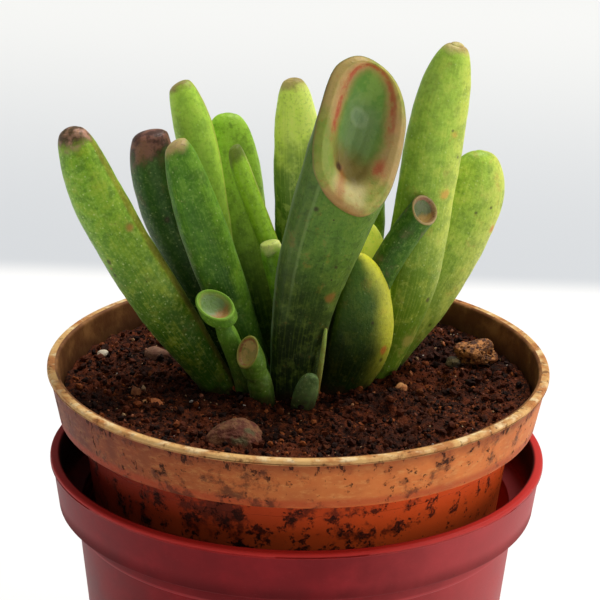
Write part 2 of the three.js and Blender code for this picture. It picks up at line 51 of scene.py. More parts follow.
class Level:
    """One output of a shader node. Sums on it add the Math nodes that work them out."""

    def __init__(self, finish, socket):
        self.finish = finish
        self.socket = socket

    def maths(self, operation, *others):
        return self.finish.add("Math", {"operation": operation}, dict(enumerate((self, *others))))

    def __rsub__(self, other):
        return self.finish.add("Math", {"operation": "SUBTRACT"}, {0: other, 1: self})

    __add__ = __radd__ = partialmethod(maths, "ADD")
    __mul__ = __rmul__ = partialmethod(maths, "MULTIPLY")
    __sub__ = partialmethod(maths, "SUBTRACT")
    __pow__ = partialmethod(maths, "POWER")
    __abs__ = partialmethod(maths, "ABSOLUTE")

    def step(self, low, high):
        """Rises softly from 0 at low to 1 at high, or falls where low is the higher."""
        values = {"Value": self, "From Min": low, "From Max": high}
        return self.finish.add("MapRange", {"interpolation_type": "SMOOTHSTEP"}, values)


def tint(red, green, blue):
    """A colour as a screen shows it, from 0 to 255, as the shader's linear one."""
    linear = [((c / 255 + 0.055) / 1.055) ** 2.4 if c > 10 else c / 3295 for c in (red, green, blue)]
    return (*linear, 1.0)


class Finish:
    """One material: a Principled shader and the nodes that vary it over the surface. A colour of
    three numbers is as a screen shows it, and one of four is linear."""

    def __init__(self, name, shine, steady=None):
        self.material = bpy.data.materials.new(name)
        self.material.use_nodes = True
        self.tree = self.material.node_tree
        self.shader = self.tree.nodes["Principled BSDF"]
        for socket, value in {"Specular IOR Level": shine, **(steady or {})}.items():
            self.shader.inputs[socket].default_value = value
        self.place = self.add("TexCoord", out="Object")

    def add(self, kind, settings=None, values=None, out=0):
        """Any node: its settings first, then the numbers or links of its sockets."""
        node = self.tree.nodes.new("ShaderNode" + kind)
        for name, value in (settings or {}).items():
            setattr(node, name, value)
        for name, value in (values or {}).items():
            if isinstance(value, Level):
                self.tree.links.new(value.socket, node.inputs[name])
            else:
                node.inputs[name].default_value = value
        return Level(self, node.outputs[out])

    def axis(self, letter):
        """A coordinate in millimetres."""
        return self.add("SeparateXYZ", values={0: self.place}, out=letter) * (1 / MM)

    def radius(self):
        """The distance from the pot's axis in millimetres."""
        return (self.axis("X") ** 2 + self.axis("Y") ** 2) ** 0.5

    def stored(self, name):
        """A value that the mesh keeps at each vertex."""
        return self.add("Attribute", {"attribute_name": name}, out="Fac")

    def clouds(self, size, detail=3, rough=0.6, stretch=None):
        """Soft blotches of about that size in millimetres, from 0 to 1 around a half."""
        place = self.place
        if stretch:
            place = self.add("Mapping", values={"Vector": place, "Scale": stretch})
        values = {"Vector": place, "Scale": 1 / (size * MM), "Detail": detail, "Roughness": rough}
        return self.add("TexNoise", {}, values, out="Fac")

    def dots(self, pitch, radius, share, soft=0.5):
        """Round spots of a radius in millimetres in a share of the cells of a pitch."""
        values = {"Vector": self.place, "Scale": 1 / (pitch * MM)}
        cell = self.add("TexVoronoi", {}, values, out="Distance")
        draw = self.add("TexVoronoi", {}, values, out="Color")
        drawn = self.add("SeparateColor", values={0: draw}, out="Red")
        edge = radius / pitch
        return cell.step(edge * (1 + soft), edge * (1 - soft)) * drawn.step(share, share - 0.02)

    def near(self, point, radius, ragged):
        """A ragged spot of a radius round a point, both in millimetres."""
        ways = {"operation": "DISTANCE"}
        ends = {0: self.place, 1: tuple(c * MM for c in point)}
        reach = self.add("VectorMath", ways, ends, out="Value") * (1 / MM)
        return (reach + (ragged - 0.5) * radius * 2).step(radius * 1.3, radius * 0.3)

    def paint(self, colour, *coats):
        """A colour with coats laid over it in turn, each of them a share and a colour."""
        for share, coat in coats:
            values = {0: share}
            for socket, value in ((6, colour), (7, coat)):
                screen = isinstance(value, tuple) and len(value) == 3
                values[socket] = tint(*value) if screen else value
            colour = self.add("Mix", {"data_type": "RGBA"}, values, out=2)
        return colour

    def vary(self, socket, level):
        self.tree.links.new(level.socket, self.shader.inputs[socket])

    def wear(self, colour, roughness, relief, depth):
        """The colour and the roughness of the surface, and a relief of a depth in millimetres."""
        self.vary("Base Color", colour)
        self.vary("Roughness", roughness)
        values = {"Height": relief, "Distance": depth * MM, "Strength": 1.0}
        self.vary("Normal", self.add("Bump", {}, values))

    def glow(self, share, colour):
        """Painted light: an emission that glows in place of the light that comes through a thin wall or
        a watery leaf.
        """
        self.vary("Emission Color", self.paint((0, 0, 0, 1), (share, (*colour, 1))))
        self.shader.inputs["Emission Strength"].default_value = 1.0


def settle(name, verts, faces, finish, stands_for=(), stored=None):
    """A smooth mesh of points in millimetres, which rides with the pot and stands for CAD nodes."""
    mesh = bpy.data.meshes.new(name)
    mesh.from_pydata((np.asarray(verts) * MM).tolist(), [], faces)
    mesh.shade_smooth()
    for key, values in (stored or {}).items():
        mesh.attributes.new(key, "FLOAT", "POINT").data.foreach_set("value", np.ravel(values))
    mesh.validate()
    mesh.materials.append(finish.material)
    piece = bpy.data.objects.new(name, mesh)
    bpy.context.scene.collection.objects.link(piece)
    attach(piece, "root")
    if stands_for:
        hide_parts(*stands_for)
    return piece


def loft_faces(rings, sides):
    """Faces of rings of points, numbered ring by ring, with a pole point before and after."""
    faces = [(0, 1 + (j + 1) % sides, 1 + j) for j in range(sides)]
    for low in range(1, 1 + (rings - 1) * sides, sides):
        high = low + sides
        for j in range(sides):
            k = (j + 1) % sides
            faces.append((low + j, low + k, high + k, high + j))
    last = 1 + (rings - 1) * sides
    return faces + [(last + j, last + (j + 1) % sides, last + sides) for j in range(sides)]


CORNER_STEPS = 4
CORNER_EASE = 0.6


def unit(vectors):
    return vectors / np.linalg.norm(vectors, axis=-1, keepdims=True)


def rounded(corners):
    """An outline through corners of (radius, height, cut), each cut back and rounded off. A point
    beside each end of the rounding keeps the straight parts straight."""
    spots = np.array(corners)[:, :2]
    line = [spots[0]]
    for before, spot, after, (_, _, cut) in zip(spots, spots[1:], spots[2:], corners[1:]):
        start = spot + unit(before - spot) * cut
        end = spot + unit(after - spot) * cut
        line.append(start + (start - spot) * CORNER_EASE)
        for t in np.linspace(0, 1, CORNER_STEPS + 1):
            line.append((1 - t) ** 2 * start + 2 * t * (1 - t) * spot + t * t * end)
        line.append(end + (end - spot) * CORNER_EASE)
    return [*line, spots[-1]]


POT_SIDES = 192
POT_WALL = 1.1
POT_FLOOR = 1.5
POT_BAND = 3.3
POT_WOBBLE = 0.0015
DRILL_SIDES = 32


def pot_outline(pot):
    """From the middle of the underside, up the outside, over the lip and down the inside."""
    def body(z):
        return pot.body - (pot.ledge - z) * pot.taper

    floor = pot.recess + POT_FLOOR
    under_lip = pot.height - pot.lip
    band_foot = pot.ledge - POT_BAND
    return rounded([
        (0, pot.recess, 0),
        (body(0) - 3.5, pot.recess, 0.1),
        (body(0) - 3.0, 0.0, 0.15),
        (body(0) - 0.3, 0.0, 0.3),
        (body(band_foot), band_foot, 0.1),
        (body(band_foot) + pot.band, band_foot + 0.35, 0.12),
        (body(pot.ledge) + pot.band, pot.ledge, 0.5),
        (pot.collar_low - 0.3, pot.ledge + 0.35, 0.3),
        (pot.collar_high, under_lip, 0.15),
        (pot.rim, under_lip + 0.15, 0.12),
        (pot.rim, pot.height, pot.soft),
        (pot.mouth, pot.height, pot.soft),
        (pot.collar_low - POT_WALL, pot.ledge + POT_WALL + 0.3, 0.2),
        (body(pot.ledge) - POT_WALL, pot.ledge + POT_WALL, 0.2),
        (body(floor) - POT_WALL, floor, 0.8),
        (0, floor, 0),
    ])


def drills(pot, lift):
    """A round bar for the hole in the middle of a pot's floor, and one for each hole round it."""
    bars = bmesh.new()
    sizes = {"radius1": pot.hole * MM, "radius2": pot.hole * MM, "depth": (POT_FLOOR + 2) * MM}
    for i in range(-1, pot.holes):
        heading = (i + 0.5) / pot.holes * math.tau
        reach = pot.hole_circle if i >= 0 else 0
        height = lift + pot.recess + POT_FLOOR / 2
        at = Vector((reach * math.cos(heading), reach * math.sin(heading), height)) * MM
        bmesh.ops.create_cone(
            bars, cap_ends=True, segments=DRILL_SIDES, matrix=Matrix.Translation(at), **sizes)
    mesh = bpy.data.meshes.new("drills")
    bars.to_mesh(mesh)
    return bpy.data.objects.new("drills", mesh)


def potter(name, pot, lift, finish, node):
    """Turns a pot's outline, and drills its drainage holes through the floor."""
    outline = pot_outline(pot)
    verts = [(0, 0, outline[0][1])]
    for radius, height in outline[1:-1]:
        for turn in np.arange(POT_SIDES) / POT_SIDES * math.tau:
            x, y = math.cos(turn), math.sin(turn)
            sway = 0.5 + noise.noise(Vector((x * 2.2, y * 2.2, height * 0.02)))
            girth = radius * (1 - (height / pot.height) ** 2 * POT_WOBBLE * sway)
            verts.append((x * girth, y * girth, height))
    verts = np.array([*verts, (0, 0, outline[-1][1])]) + (0, 0, lift)
    piece = settle(name, verts, loft_faces(len(outline) - 2, POT_SIDES), finish, [node])
    cutter = drills(pot, lift)
    bpy.context.scene.collection.objects.link(cutter)
    holes = piece.modifiers.new("holes", "BOOLEAN")
    holes.solver = "EXACT"
    holes.object = cutter
    bpy.context.view_layer.objects.active = piece
    bpy.ops.object.modifier_apply(modifier=holes.name)
    bpy.data.objects.remove(cutter)


RED_POT_TOP = 64.0
RED_COLLAR = 9.8
red_pot = SimpleNamespace(
    height=RED_POT_TOP, rim=44.6, mouth=42.8, lip=1.2, soft=0.55,
    collar_high=44.15, collar_low=43.3, ledge=RED_POT_TOP - RED_COLLAR,
    body=39.9, band=0.45, taper=0.105, recess=1.6, holes=5, hole_circle=19, hole=3.0,
)
red = Finish("red_plastic", 0.16)
red_height = red.axis("Z")
red_dust = red.clouds(9, 4, 0.6)
red_scuffs = red.clouds(0.7, stretch=(1, 1, 5))
# Painted light: the right side is painted a paler pink-red, as if lit from the right.
red_lit_side = (red.axis("X") + (red_dust - 0.5) * 14).step(2, 42)
# Painted highlights: pale lines along the collar's foot and along the band below it.
red_ledge_highlight = abs(red_height - (RED_POT_TOP - RED_COLLAR - 0.3)).step(0.9, 0.3)
red_band_highlight = abs(red_height - (RED_POT_TOP - RED_COLLAR - POT_BAND + 0.4)).step(0.5, 0.15)
# Painted highlight: the rim's top is painted a brighter red.
red_rim_highlight = (red_height + red_dust * 0.6).step(RED_POT_TOP - 1.1, RED_POT_TOP + 0.1)
red_dirt = red.dots(3.4, 0.22, 0.16) + red.clouds(2.2, 4, 0.7).step(0.66, 0.72) * 0.5
# Painted shade, with some dirt at the rim's inner edge: the wall inside is painted nearly black.
red_inside_shade_and_dirt = red.radius().step(43.4, 42.9) * red_height.step(50, 60)
red_skin = red.paint(
    (116, 6, 14),
    (red_dust.step(0.35, 0.75), (138, 16, 24)),
    (red_lit_side * 0.4, (222, 92, 92)),
    (red_ledge_highlight * 0.5, (196, 76, 78)),
    (red_band_highlight * 0.35, (196, 76, 78)),
    (red_rim_highlight * 0.85, (190, 42, 34)),
    (red.dots(2.6, 0.13, 0.10) * 0.6, (214, 150, 140)),
    (red_scuffs.step(0.66, 0.78) * 0.22, (205, 130, 125)),
    (red_dirt * 0.25, (44, 22, 16)),
    (red_inside_shade_and_dirt * 0.97, red.paint((14, 4, 4), (red_dust.step(0.4, 0.6), (34, 7, 7)))),
)
red_relief = red_scuffs * 0.5 + red_dust * 0.5 + red.clouds(0.25, 2, 0.5) * 0.3
red.wear(red_skin, 0.36 + red_dust * 0.14 + red_scuffs * 0.1 + red_inside_shade_and_dirt * 0.5, red_relief, 0.035)
potter("outer_pot", red_pot, 0.0, red, "pot_red")

# The inner nursery pot
# A terracotta-coloured plastic pot that stands in the red one. Its rolled lip is bleached and
# chipped to a dirty cream, and soil has splashed and dried down its collar and its body. Its right side
# is painted lighter, its body there carries a painted glow, and painted shade darkens the band under
# the lip and the wall inside.

INNER_POT_LIFT = 3.4
INNER_POT_TOP = 77.7
INNER_COLLAR = 10.0
RIM = INNER_POT_LIFT + INNER_POT_TOP
LEDGE = RIM - INNER_COLLAR
inner_pot = SimpleNamespace(
    height=INNER_POT_TOP, rim=44.98, mouth=43.05, lip=1.1, soft=0.5,
    collar_high=44.55, collar_low=43.05, ledge=INNER_POT_TOP - INNER_COLLAR,
    body=38.8, band=0.0, taper=0.135, recess=1.2, holes=4, hole_circle=17, hole=2.8,
)


def terracotta():
    """Plastic that is painted lighter on the right and darker on the left as painted light, with a
    painted glow low on the right and painted shade under the lip and inside, and splashed with dried
    soil.
    """
    clay = Finish("terracotta_plastic", 0.14)
    z = clay.axis("Z")
    patch = clay.clouds(5, 4, 0.6)
    blotch = clay.clouds(11, 3, 0.55)
    fine = clay.clouds(0.8)
    grime = clay.clouds(2.4, 5, 0.72)
    streak = clay.clouds(1.8, 4, 0.65, (1, 1, 0.3))
    # Painted light: east is the right side, painted lighter as if lit from the right; the left stays
    # darker.
    east = (clay.axis("X") + (blotch - 0.5) * 24).step(-44, 30)
    middle = abs(clay.axis("X") + 2).step(30, 6)

    # Where things are: the wall inside, the body under the collar, the collar's edges and the lip.
    wall = (clay.radius() - (z - LEDGE) * 0.13).step(42.4, 42.2)
    wall = wall * z.step(LEDGE + 1.0, LEDGE + 1.2)
    outside = 1 - wall
    body = z.step(LEDGE + 0.9, LEDGE - 0.2)
    low_edge = abs(z - (LEDGE + 1.2)).step(1.4, 0.2) * (1 - body)
    # Painted shade with dirt: a darker band under the lip stands for the lip's shadow and for dried
    # soil.
    under_lip = (z + (patch - 0.5) * 3.5).step(RIM - 4.0, RIM - 1.1)
    lip = z.step(RIM - 1.15, RIM - 0.95) * outside

    # Dried soil: smears under the lip, clots low on the body, and fine spatter all over.
    smudge = clay.clouds(5, 6, 0.72) + body * middle * 0.09 + (1 - east) * 0.05
    smudge = smudge.step(0.55, 0.68) * outside
    smear = (streak + (under_lip - 0.5) * 0.12 + (1 - east) * 0.05).step(0.6, 0.7)
    clot_low = abs(z - (LEDGE - 7.5)).step(8.0, 2.0) * body
    clot = (grime + clot_low * (0.05 + middle * 0.07) + (patch - 0.5) * 0.35).step(0.6, 0.68)
    soil = outside * (smear + clot).step(0.1, 0.9)
    spots = clay.dots(2.1, 0.24, 0.2) + clay.dots(1.1, 0.13, 0.16) + clay.dots(0.7, 0.08, 0.12)

    # The lip is rubbed to a cream that is chipped and dirty, and the wall inside gets painted shade
    # that deepens lower down.
    scuff = clay.clouds(2.2, 5, 0.7, (1, 1, 2.5)).step(0.46, 0.74) * (0.2 + east * 0.35)
    worn = clay.clouds(3.0).step(0.5, 0.66) * z.step(RIM - 0.5, RIM - 0.1)
    lip_side = (z + (fine - 0.5) * 0.5).step(RIM - 0.45, RIM - 0.8)
    lip_dirt = clay.dots(1.4, 0.24, 0.3) + (grime + (patch - 0.5) * 0.4).step(0.58, 0.66) * 0.7
    lip_skin = clay.paint(
        (222, 176, 112),
        (patch.step(0.4, 0.62), (188, 124, 70)),
        (worn * 0.8, (240, 214, 164)),
        (lip_side * 0.6, (150, 84, 42)),
        (lip_dirt * 0.8, (74, 38, 20)),
    )
    # Painted shade: the wall inside darkens lower down.
    wall_shade = (z + (blotch - 0.5) * 3).step(RIM - 1.5, RIM - 5)
    wall_skin = clay.paint(
        (112, 68, 36),
        (patch.step(0.4, 0.7), (158, 108, 62)),
        (wall_shade * 0.65, (66, 36, 20)),
    )
    skin = clay.paint(
        (104, 44, 22),
        (east, (214, 122, 60)),
        (patch.step(0.38, 0.7) * 0.5, (190, 98, 44)),
        (blotch.step(0.5, 0.7) * 0.4, (132, 56, 28)),
        (scuff, (218, 158, 92)),
        (low_edge * 0.6, (168, 58, 28)),
        # Painted shadow of the lip, with dirt.
        (under_lip * 0.6, (110, 44, 22)),
        # Painted light: the body under the collar is painted lighter on its right side.
        (body, clay.paint((122, 28, 14), (east, (206, 72, 20)))),
        (smudge * 0.72, (52, 24, 15)),
        (soil * fine.step(0.3, 0.5) * 0.85, (36, 18, 13)),
        (spots * 0.75, (62, 24, 16)),
        (wall, wall_skin),
        (lip, lip_skin),
    )
    relief = smudge * grime * 0.8 + soil * fine * 1.2
    relief = relief + (patch + spots + grime) * 0.5 + fine * 0.4
    clay.wear(skin, 0.46 + fine * 0.2 + soil * 0.25, relief, 0.12)
    # Painted light: a glow on the lit right side of the body, standing for light through the plastic.
    clay.glow(body * east * (1 - soil) * (1 - smudge), (0.05, 0.009, 0.002))
    return clay


potter("nursery_pot", inner_pot, INNER_POT_LIFT, terracotta(), "pot_inner")

# The rootstock
# The plant's short woody stock, hidden in the soil, with the leaves' shoots and the main roots.
# It keeps its own solid and gets corky, lengthwise-cracked bark.

bark = Finish("cork_bark", 0.2)
cracks = bark.clouds(1.2, 5, 0.7, (1, 1, 0.3))
bark_skin = bark.paint((78, 54, 34), (cracks.step(0.4, 0.65), (156, 126, 84)))
bark.wear(bark_skin, 0.75 + cracks * 0.2, cracks, 0.3)
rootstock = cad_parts["rootstock"]
rootstock.data.materials.clear()
rootstock.data.materials.append(bark.material)

# The soil
# Damp red-brown potting mix, filled to 5 mm below the rim. One closed body from the pot's floor
# to a surface of clods and crumbs.

SOIL_BELOW_RIM = 5.0
SOIL_MOUTH = 41.83
SOIL_CELLS = 300

# The radius and the height of the body's side, from under the surface to the pot's floor.
SOIL_SIDE = [(41.4, LEDGE + 1.9), (37.3, LEDGE + 1.3), (29.3, 7.6), (28.2, 6.5)]


def soil_swell(x, y):
    """The broad shape of the surface, in millimetres from the rim, as the solid has it."""
    swell = 0.55 * math.sin(x * 0.13 + 1.2) * math.cos(y * 0.15 - 0.6)
    clods = 0.45 * math.sin(x * 0.52 + y * 0.31) * math.sin(y * 0.47 - x * 0.22 + 1.9)
    crumbs = 0.25 * math.sin(x * 1.13 - y * 0.74 + 0.4) * math.cos(y * 1.21 + x * 0.38)
    rise = 0.9 * math.exp(-(x * x + (y - 3) * (y - 3)) / 260)
    return -SOIL_BELOW_RIM + swell + clods + crumbs + rise


def granules(x, y, size, seed):
    """Rounded grains packed side by side: 1 on top of a grain and 0 between grains."""
    near = noise.voronoi(Vector((x / size, y / size, seed)))[0]
    return math.sqrt(max(0.0, 1 - (near[0] / 0.72) ** 2))


# Each big clod or hollow: where it is, its height and its radius, in millimetres.
CLODS = [
    (14.6, -8.4, 2.4, 2.9), (17.8, -6, 1.4, 1.9), (11.2, -12, 1.3, 2), (15.6, -12.4, -1.3, 2),
    (21, -16, 1, 2.2), (5, -18.5, 0.8, 1.8), (8.5, -20.5, -0.9, 1.8), (26, 1.5, -0.9, 2.2),
    (29.5, -3, 0.9, 1.8), (-21, -15.5, 0.7, 2), (-18, -18.5, -0.8, 1.8), (-30, 4, -0.7, 2.4),
    (-4, -18, 0.8, 1.6), (24, -22, 0.8, 1.7), (-9, 27, 0.9, 2.2), (12, 28, -0.8, 2.2),
]
# Painted shade: the big clod in front is painted dark round this point and radius, on the bed and on
# the crumbs, for its shadow.
CLOD_SHADE_SPOT = (14.2, -8.6, RIM - 3.4)
CLOD_SHADE_REACH = 3.4


def soil_top(x, y):
    """The surface with its clods and crumbs, in millimetres from the rim."""
    heap = 0.0
    for clod_x, clod_y, height, radius in CLODS:
        away = ((x - clod_x) ** 2 + (y - clod_y) ** 2) / radius ** 2
        heap += height * math.exp(-away * away) if away < 4 else 0.0
    rough = noise.fractal(Vector((x * 0.26, y * 0.26, 3.1)), 0.75, 2.1, 5)
    clods = granules(x, y, 3.6, 1.7) * max(0.0, noise.noise(Vector((x * 0.2, y * 0.2, 9))))
    crumbs = granules(x, y, 1.5, 5.3) * max(0.0, 0.3 + noise.noise(Vector((x * 0.35, y * 0.35, 4))))
    dust = noise.fractal(Vector((x * 1.5, y * 1.5, 7.7)), 0.5, 2.2, 4)
    return soil_swell(x, y) + heap + 0.42 * rough + 1.5 * clods + 0.55 * crumbs + 0.26 * dust - 0.35


steps = np.linspace(-1, 1, SOIL_CELLS + 1)
across, back = np.meshgrid(steps, steps, indexing="ij")
soil_x = (across * np.sqrt(1 - back ** 2 / 2) * SOIL_MOUTH).ravel()
soil_y = (back * np.sqrt(1 - across ** 2 / 2) * SOIL_MOUTH).ravel()
soil_z = np.array([soil_top(x, y) for x, y in zip(soil_x, soil_y)])
soil_verts = np.stack([soil_x, soil_y, RIM + soil_z], -1)
grid = np.arange((SOIL_CELLS + 1) ** 2).reshape(SOIL_CELLS + 1, SOIL_CELLS + 1)
cells = np.stack([grid[:-1, :-1], grid[1:, :-1], grid[1:, 1:], grid[:-1, 1:]], -1)
soil_faces = cells.reshape(-1, 4).tolist()
upper = np.concatenate([grid[:-1, 0], grid[-1, :-1], grid[:0:-1, -1], grid[0, :0:-1]])
outward = soil_verts[upper, :2] / SOIL_MOUTH
for reach, height in SOIL_SIDE:
    lower = len(soil_verts) + np.arange(len(upper))
    soil_verts = np.concatenate([soil_verts, np.c_[outward * reach, np.full(len(upper), height)]])
    soil_faces += np.stack([np.roll(upper, -1), upper, lower, np.roll(lower, -1)], -1).tolist()
    upper = lower
soil_faces.append(upper[::-1].tolist())

SOIL_DARK = (30, 12, 6)
SOIL_MID = (104, 46, 20)
SOIL_WARM = (168, 90, 44)
mould = Finish("potting_mix", 0.12)
soil_grain = mould.clouds(1.3, 5, 0.7)
soil_skin = mould.paint(
    SOIL_DARK,
    ((soil_grain + (mould.clouds(9) - 0.5) * 0.4).step(0.36, 0.66), SOIL_MID),
    (mould.clouds(0.5).step(0.55, 0.75) * 0.6, SOIL_WARM),
    (mould.clouds(12, 3, 0.55).step(0.5, 0.62) * 0.6, SOIL_DARK),
    # Painted shade of the big clod.
    (mould.near(CLOD_SHADE_SPOT, CLOD_SHADE_REACH, soil_grain) * 0.7, SOIL_DARK),
    (mould.dots(1.1, 0.14, 0.08) * 0.8, (214, 176, 130)),
)
soil_relief = soil_grain + mould.clouds(0.35, 3, 0.7) * 0.6
mould.wear(soil_skin, 0.6 + mould.clouds(0.6, 2, 0.5) * 0.3, soil_relief, 0.5)
settle("soil_bed", soil_verts, soil_faces, mould, ["soil"])

# The loose crumbs and the fine grit
# Crumbs of the same mix that lie on the bed, and grains of orange brick, tan sand and white
# quartz among them. Each is a small lump with flat chips.

# How far out the lumps lie, the share of each that is sunk, how much the small ones outnumber the
# large, and how uneven their corners are.
SCATTER_REACH = 41.2
SCATTER_SUNK = 0.25
SCATTER_SMALLNESS = 2.6
LUMP_CHIPS = 0.2
GOLDEN = (1 + math.sqrt(5)) / 2
LUMP_CORNERS = np.array([
    np.roll((a, b * GOLDEN, 0), turn) for turn in range(3) for b in (1, -1) for a in (-1, 1)
]) / math.hypot(1, GOLDEN)
LUMP_FACES = [
    (0, 11, 5), (0, 5, 1), (0, 1, 7), (0, 7, 10), (0, 10, 11), (1, 5, 9), (5, 11, 4),
    (11, 10, 2), (10, 7, 6), (7, 1, 8), (3, 9, 4), (3, 4, 2), (3, 2, 6), (3, 6, 8),
    (3, 8, 9), (4, 9, 5), (2, 4, 11), (6, 2, 10), (8, 6, 7), (9, 8, 1),
]


def scatter(name, count, small, large, seed, finish):
    """Lumps of random size, turn and chips, strewn over the bed and sunk in a little."""
    draw = np.random.default_rng(seed)
    radius = small * (large / small) ** (draw.random(count) ** SCATTER_SMALLNESS)
    heading = draw.random(count) * math.tau
    out = np.sqrt(draw.random(count)) * (SCATTER_REACH - radius)
    x = out * np.cos(heading)
    y = out * np.sin(heading)
    z = np.array([soil_top(a, b) for a, b in zip(x, y)]) + radius * (1 - SCATTER_SUNK) * 0.6
    turn, _ = np.linalg.qr(draw.normal(size=(count, 3, 3)))
    lumps = LUMP_CORNERS[None] * (1 + draw.normal(size=(count, 12, 1)) * LUMP_CHIPS)
    lumps = lumps * radius[:, None, None] * (0.65 + draw.random((count, 1, 3)) * 0.6)
    lumps = np.einsum("nij,nkj->nik", lumps, turn)
    lumps += np.stack([x, y, RIM + z], -1)[:, None]
    faces = []
    for i, outward in enumerate(np.linalg.det(turn) > 0):
        for a, b, c in LUMP_FACES:
            b, c = (b, c) if outward else (c, b)
            faces.append((i * 12 + a, i * 12 + b, i * 12 + c))
    shade = np.repeat(draw.random(count), 12)
    piece = settle(name, lumps.reshape(-1, 3), faces, finish, stored={"shade": shade})
    piece.data.shade_flat()


crumb = Finish("crumbs", 0.12)
crumb_shade = crumb.stored("shade")
crumb_grain = crumb.clouds(0.4)
crumb_skin = crumb.paint(
    SOIL_DARK,
    (crumb_shade.step(0.1, 0.9), SOIL_MID),
    (crumb_shade.step(0.86, 0.96), SOIL_WARM),
    (crumb.clouds(12, 3, 0.55).step(0.5, 0.62) * 0.6, SOIL_DARK),
    # Painted shade of the big clod.
    (crumb.near(CLOD_SHADE_SPOT, CLOD_SHADE_REACH, crumb_grain) * 0.7, SOIL_DARK),
    (crumb_grain * 0.5, SOIL_DARK),
)
crumb.wear(crumb_skin, 0.55 + crumb_grain * 0.3, crumb_grain, 0.2)
scatter("soil_crumbs", 9500, 0.13, 0.75, 5, crumb)

grit = Finish("fine_grit", 0.45)
grit_shade = grit.stored("shade")
grit_grain = grit.clouds(0.3, 2, 0.5)
grit_skin = grit.paint(
    (150, 78, 44),
    (grit_shade.step(0.3, 0.5), (190, 108, 58)),
    (grit_shade.step(0.72, 0.8), (204, 160, 112)),
    (grit_shade.step(0.92, 0.95), (236, 226, 212)),
    (grit_grain * 0.6, (70, 36, 22)),
)
grit.vary("Base Color", grit_skin)
grit.vary("Roughness", 0.4 + grit_grain * 0.3)
scatter("fine_grit", 520, 0.12, 0.55, 11, grit)

# The stones
# Pieces of grit that are large enough to be stones of their own: sandstone, porous rock, brick
# chips and quartz. Each is half pressed into the bed.

STONE_BUMPS = 6


def sphere(levels):
    """A round lump of even triangles: its points and its faces."""
    points = list(LUMP_CORNERS)
    faces = LUMP_FACES
    for _ in range(levels):
        middles = {}
        finer = []
        for a, b, c in faces:
            edges = [frozenset(pair) for pair in ((a, b), (b, c), (c, a))]
            for edge in edges:
                if edge not in middles:
                    middles[edge] = len(points)
                    points.append(unit(sum(points[end] for end in edge)))
            ab, bc, ca = [middles[edge] for edge in edges]
            finer += [(a, ab, ca), (b, bc, ab), (c, ca, bc), (ab, bc, ca)]
        faces = finer
    return points, faces


def draws(seed):
    """The same repeatable stream of numbers from 0 to 1 as the solids are shaped by."""
    state = seed
    while True:
        state = (state * 1664525 + 1013904223) % 4294967296
        yield state / 4294967296


def stone(node, at, size, turn, seed, rough, pits, look):
    """A stone with the solid's bumps, and finer pits and chips than the solid has."""
    stream = draws(seed)
    waves = []
    for _ in range(STONE_BUMPS):
        direction = Vector([next(stream) - 0.5 for _ in range(3)]).normalized()
        waves.append((direction, 2 + next(stream) * 4, next(stream) * math.tau))
    points, faces = sphere(5 if size[0] > 3 else 3)
    verts = []
    for p in points:
        spot = Vector(p)
        relief = sum(math.sin(spot.dot(way) * pitch + phase) for way, pitch, phase in waves)
        grain = noise.fractal(spot * 3.1 + Vector((seed, 0, 0)), 0.7, 2.2, 5)
        pit = max(0.0, 0.42 - noise.voronoi(spot * 4.2 + Vector((0, seed, 0)))[0][0])
        reach = 1 + relief * rough * 2 / STONE_BUMPS + grain * 0.05 - pit * pits
        verts.append([c * s * reach for c, s in zip(spot, size)])
    turned = np.array(verts) @ np.array(Matrix.Rotation(math.radians(-turn), 3, "Z"))
    settle(node + "_worn", turned + at + (0, 0, RIM), faces, look, [node])


def stone_look(name, dark, light, other, speck, patch_size=1.8):
    """Weathered mineral: two body colours in patches, a vein of a third, and dark pores."""
    look = Finish(name, 0.35)
    patch = look.clouds(patch_size, 4, 0.6)
    grain = look.clouds(0.35, 4, 0.7)
    skin = look.paint(
        dark,
        (patch.step(0.4, 0.62), light),
        (look.clouds(patch_size * 1.7, 2, 0.5).step(0.55, 0.68) * 0.8, other),
        (grain.step(0.56, 0.7) * 0.7, speck),
    )
    look.wear(skin, 0.55 + grain * 0.35, grain + patch * 0.4, 0.18)
    return look


sandstone = stone_look("sandstone", (104, 50, 32), (138, 92, 58), (96, 94, 58), (56, 32, 22))
worn = stone_look("worn_pebble", (116, 72, 52), (140, 98, 74), (104, 70, 52), (80, 48, 34))
porous = stone_look("porous_rock", (72, 38, 20), (196, 128, 68), (146, 80, 38), (20, 10, 6), 1.1)
basalt = stone_look("dark_rock", (50, 42, 22), (100, 84, 46), (72, 54, 30), (22, 16, 10), 0.9)
quartz = stone_look("white_grit", (214, 190, 158), (240, 228, 208), (226, 206, 176), (160, 130, 96))
tan_grit = stone_look("tan_grit", (140, 80, 44), (186, 118, 68), (150, 88, 52), (84, 44, 24))
brick = stone_look("orange_chip", (196, 112, 60), (232, 164, 104), (214, 132, 72), (130, 66, 34))
stone("stone_front", (-10.6, -24.6, -5.3), (4.8, 3.8, 3.6), -18, 11, 0.12, 0.05, sandstone)
stone("pebble_left", (-26.2, 13.6, -4.9), (2.3, 1.8, 1.5), 5, 47, 0.1, 0.04, worn)
stone("rock_porous", (32.6, 14.4, -3.6), (3.5, 2.6, 2.4), 12, 23, 0.24, 0.7, porous)
stone("rock_dark", (28.4, 12.2, -4.8), (1.6, 1.3, 1.2), 40, 31, 0.2, 0.3, basalt)
stone("grit_white", (-36.2, 13.4, -4.8), (1.15, 0.9, 0.8), 30, 53, 0.12, 0.05, quartz)
stone("grit_tan", (-28.9, -4.6, -4.8), (1.1, 0.9, 0.9), 80, 61, 0.15, 0.08, tan_grit)
stone("chip_orange", (-25.6, -9.6, -4.7), (1.9, 0.9, 0.8), -12, 71, 0.15, 0.08, brick)
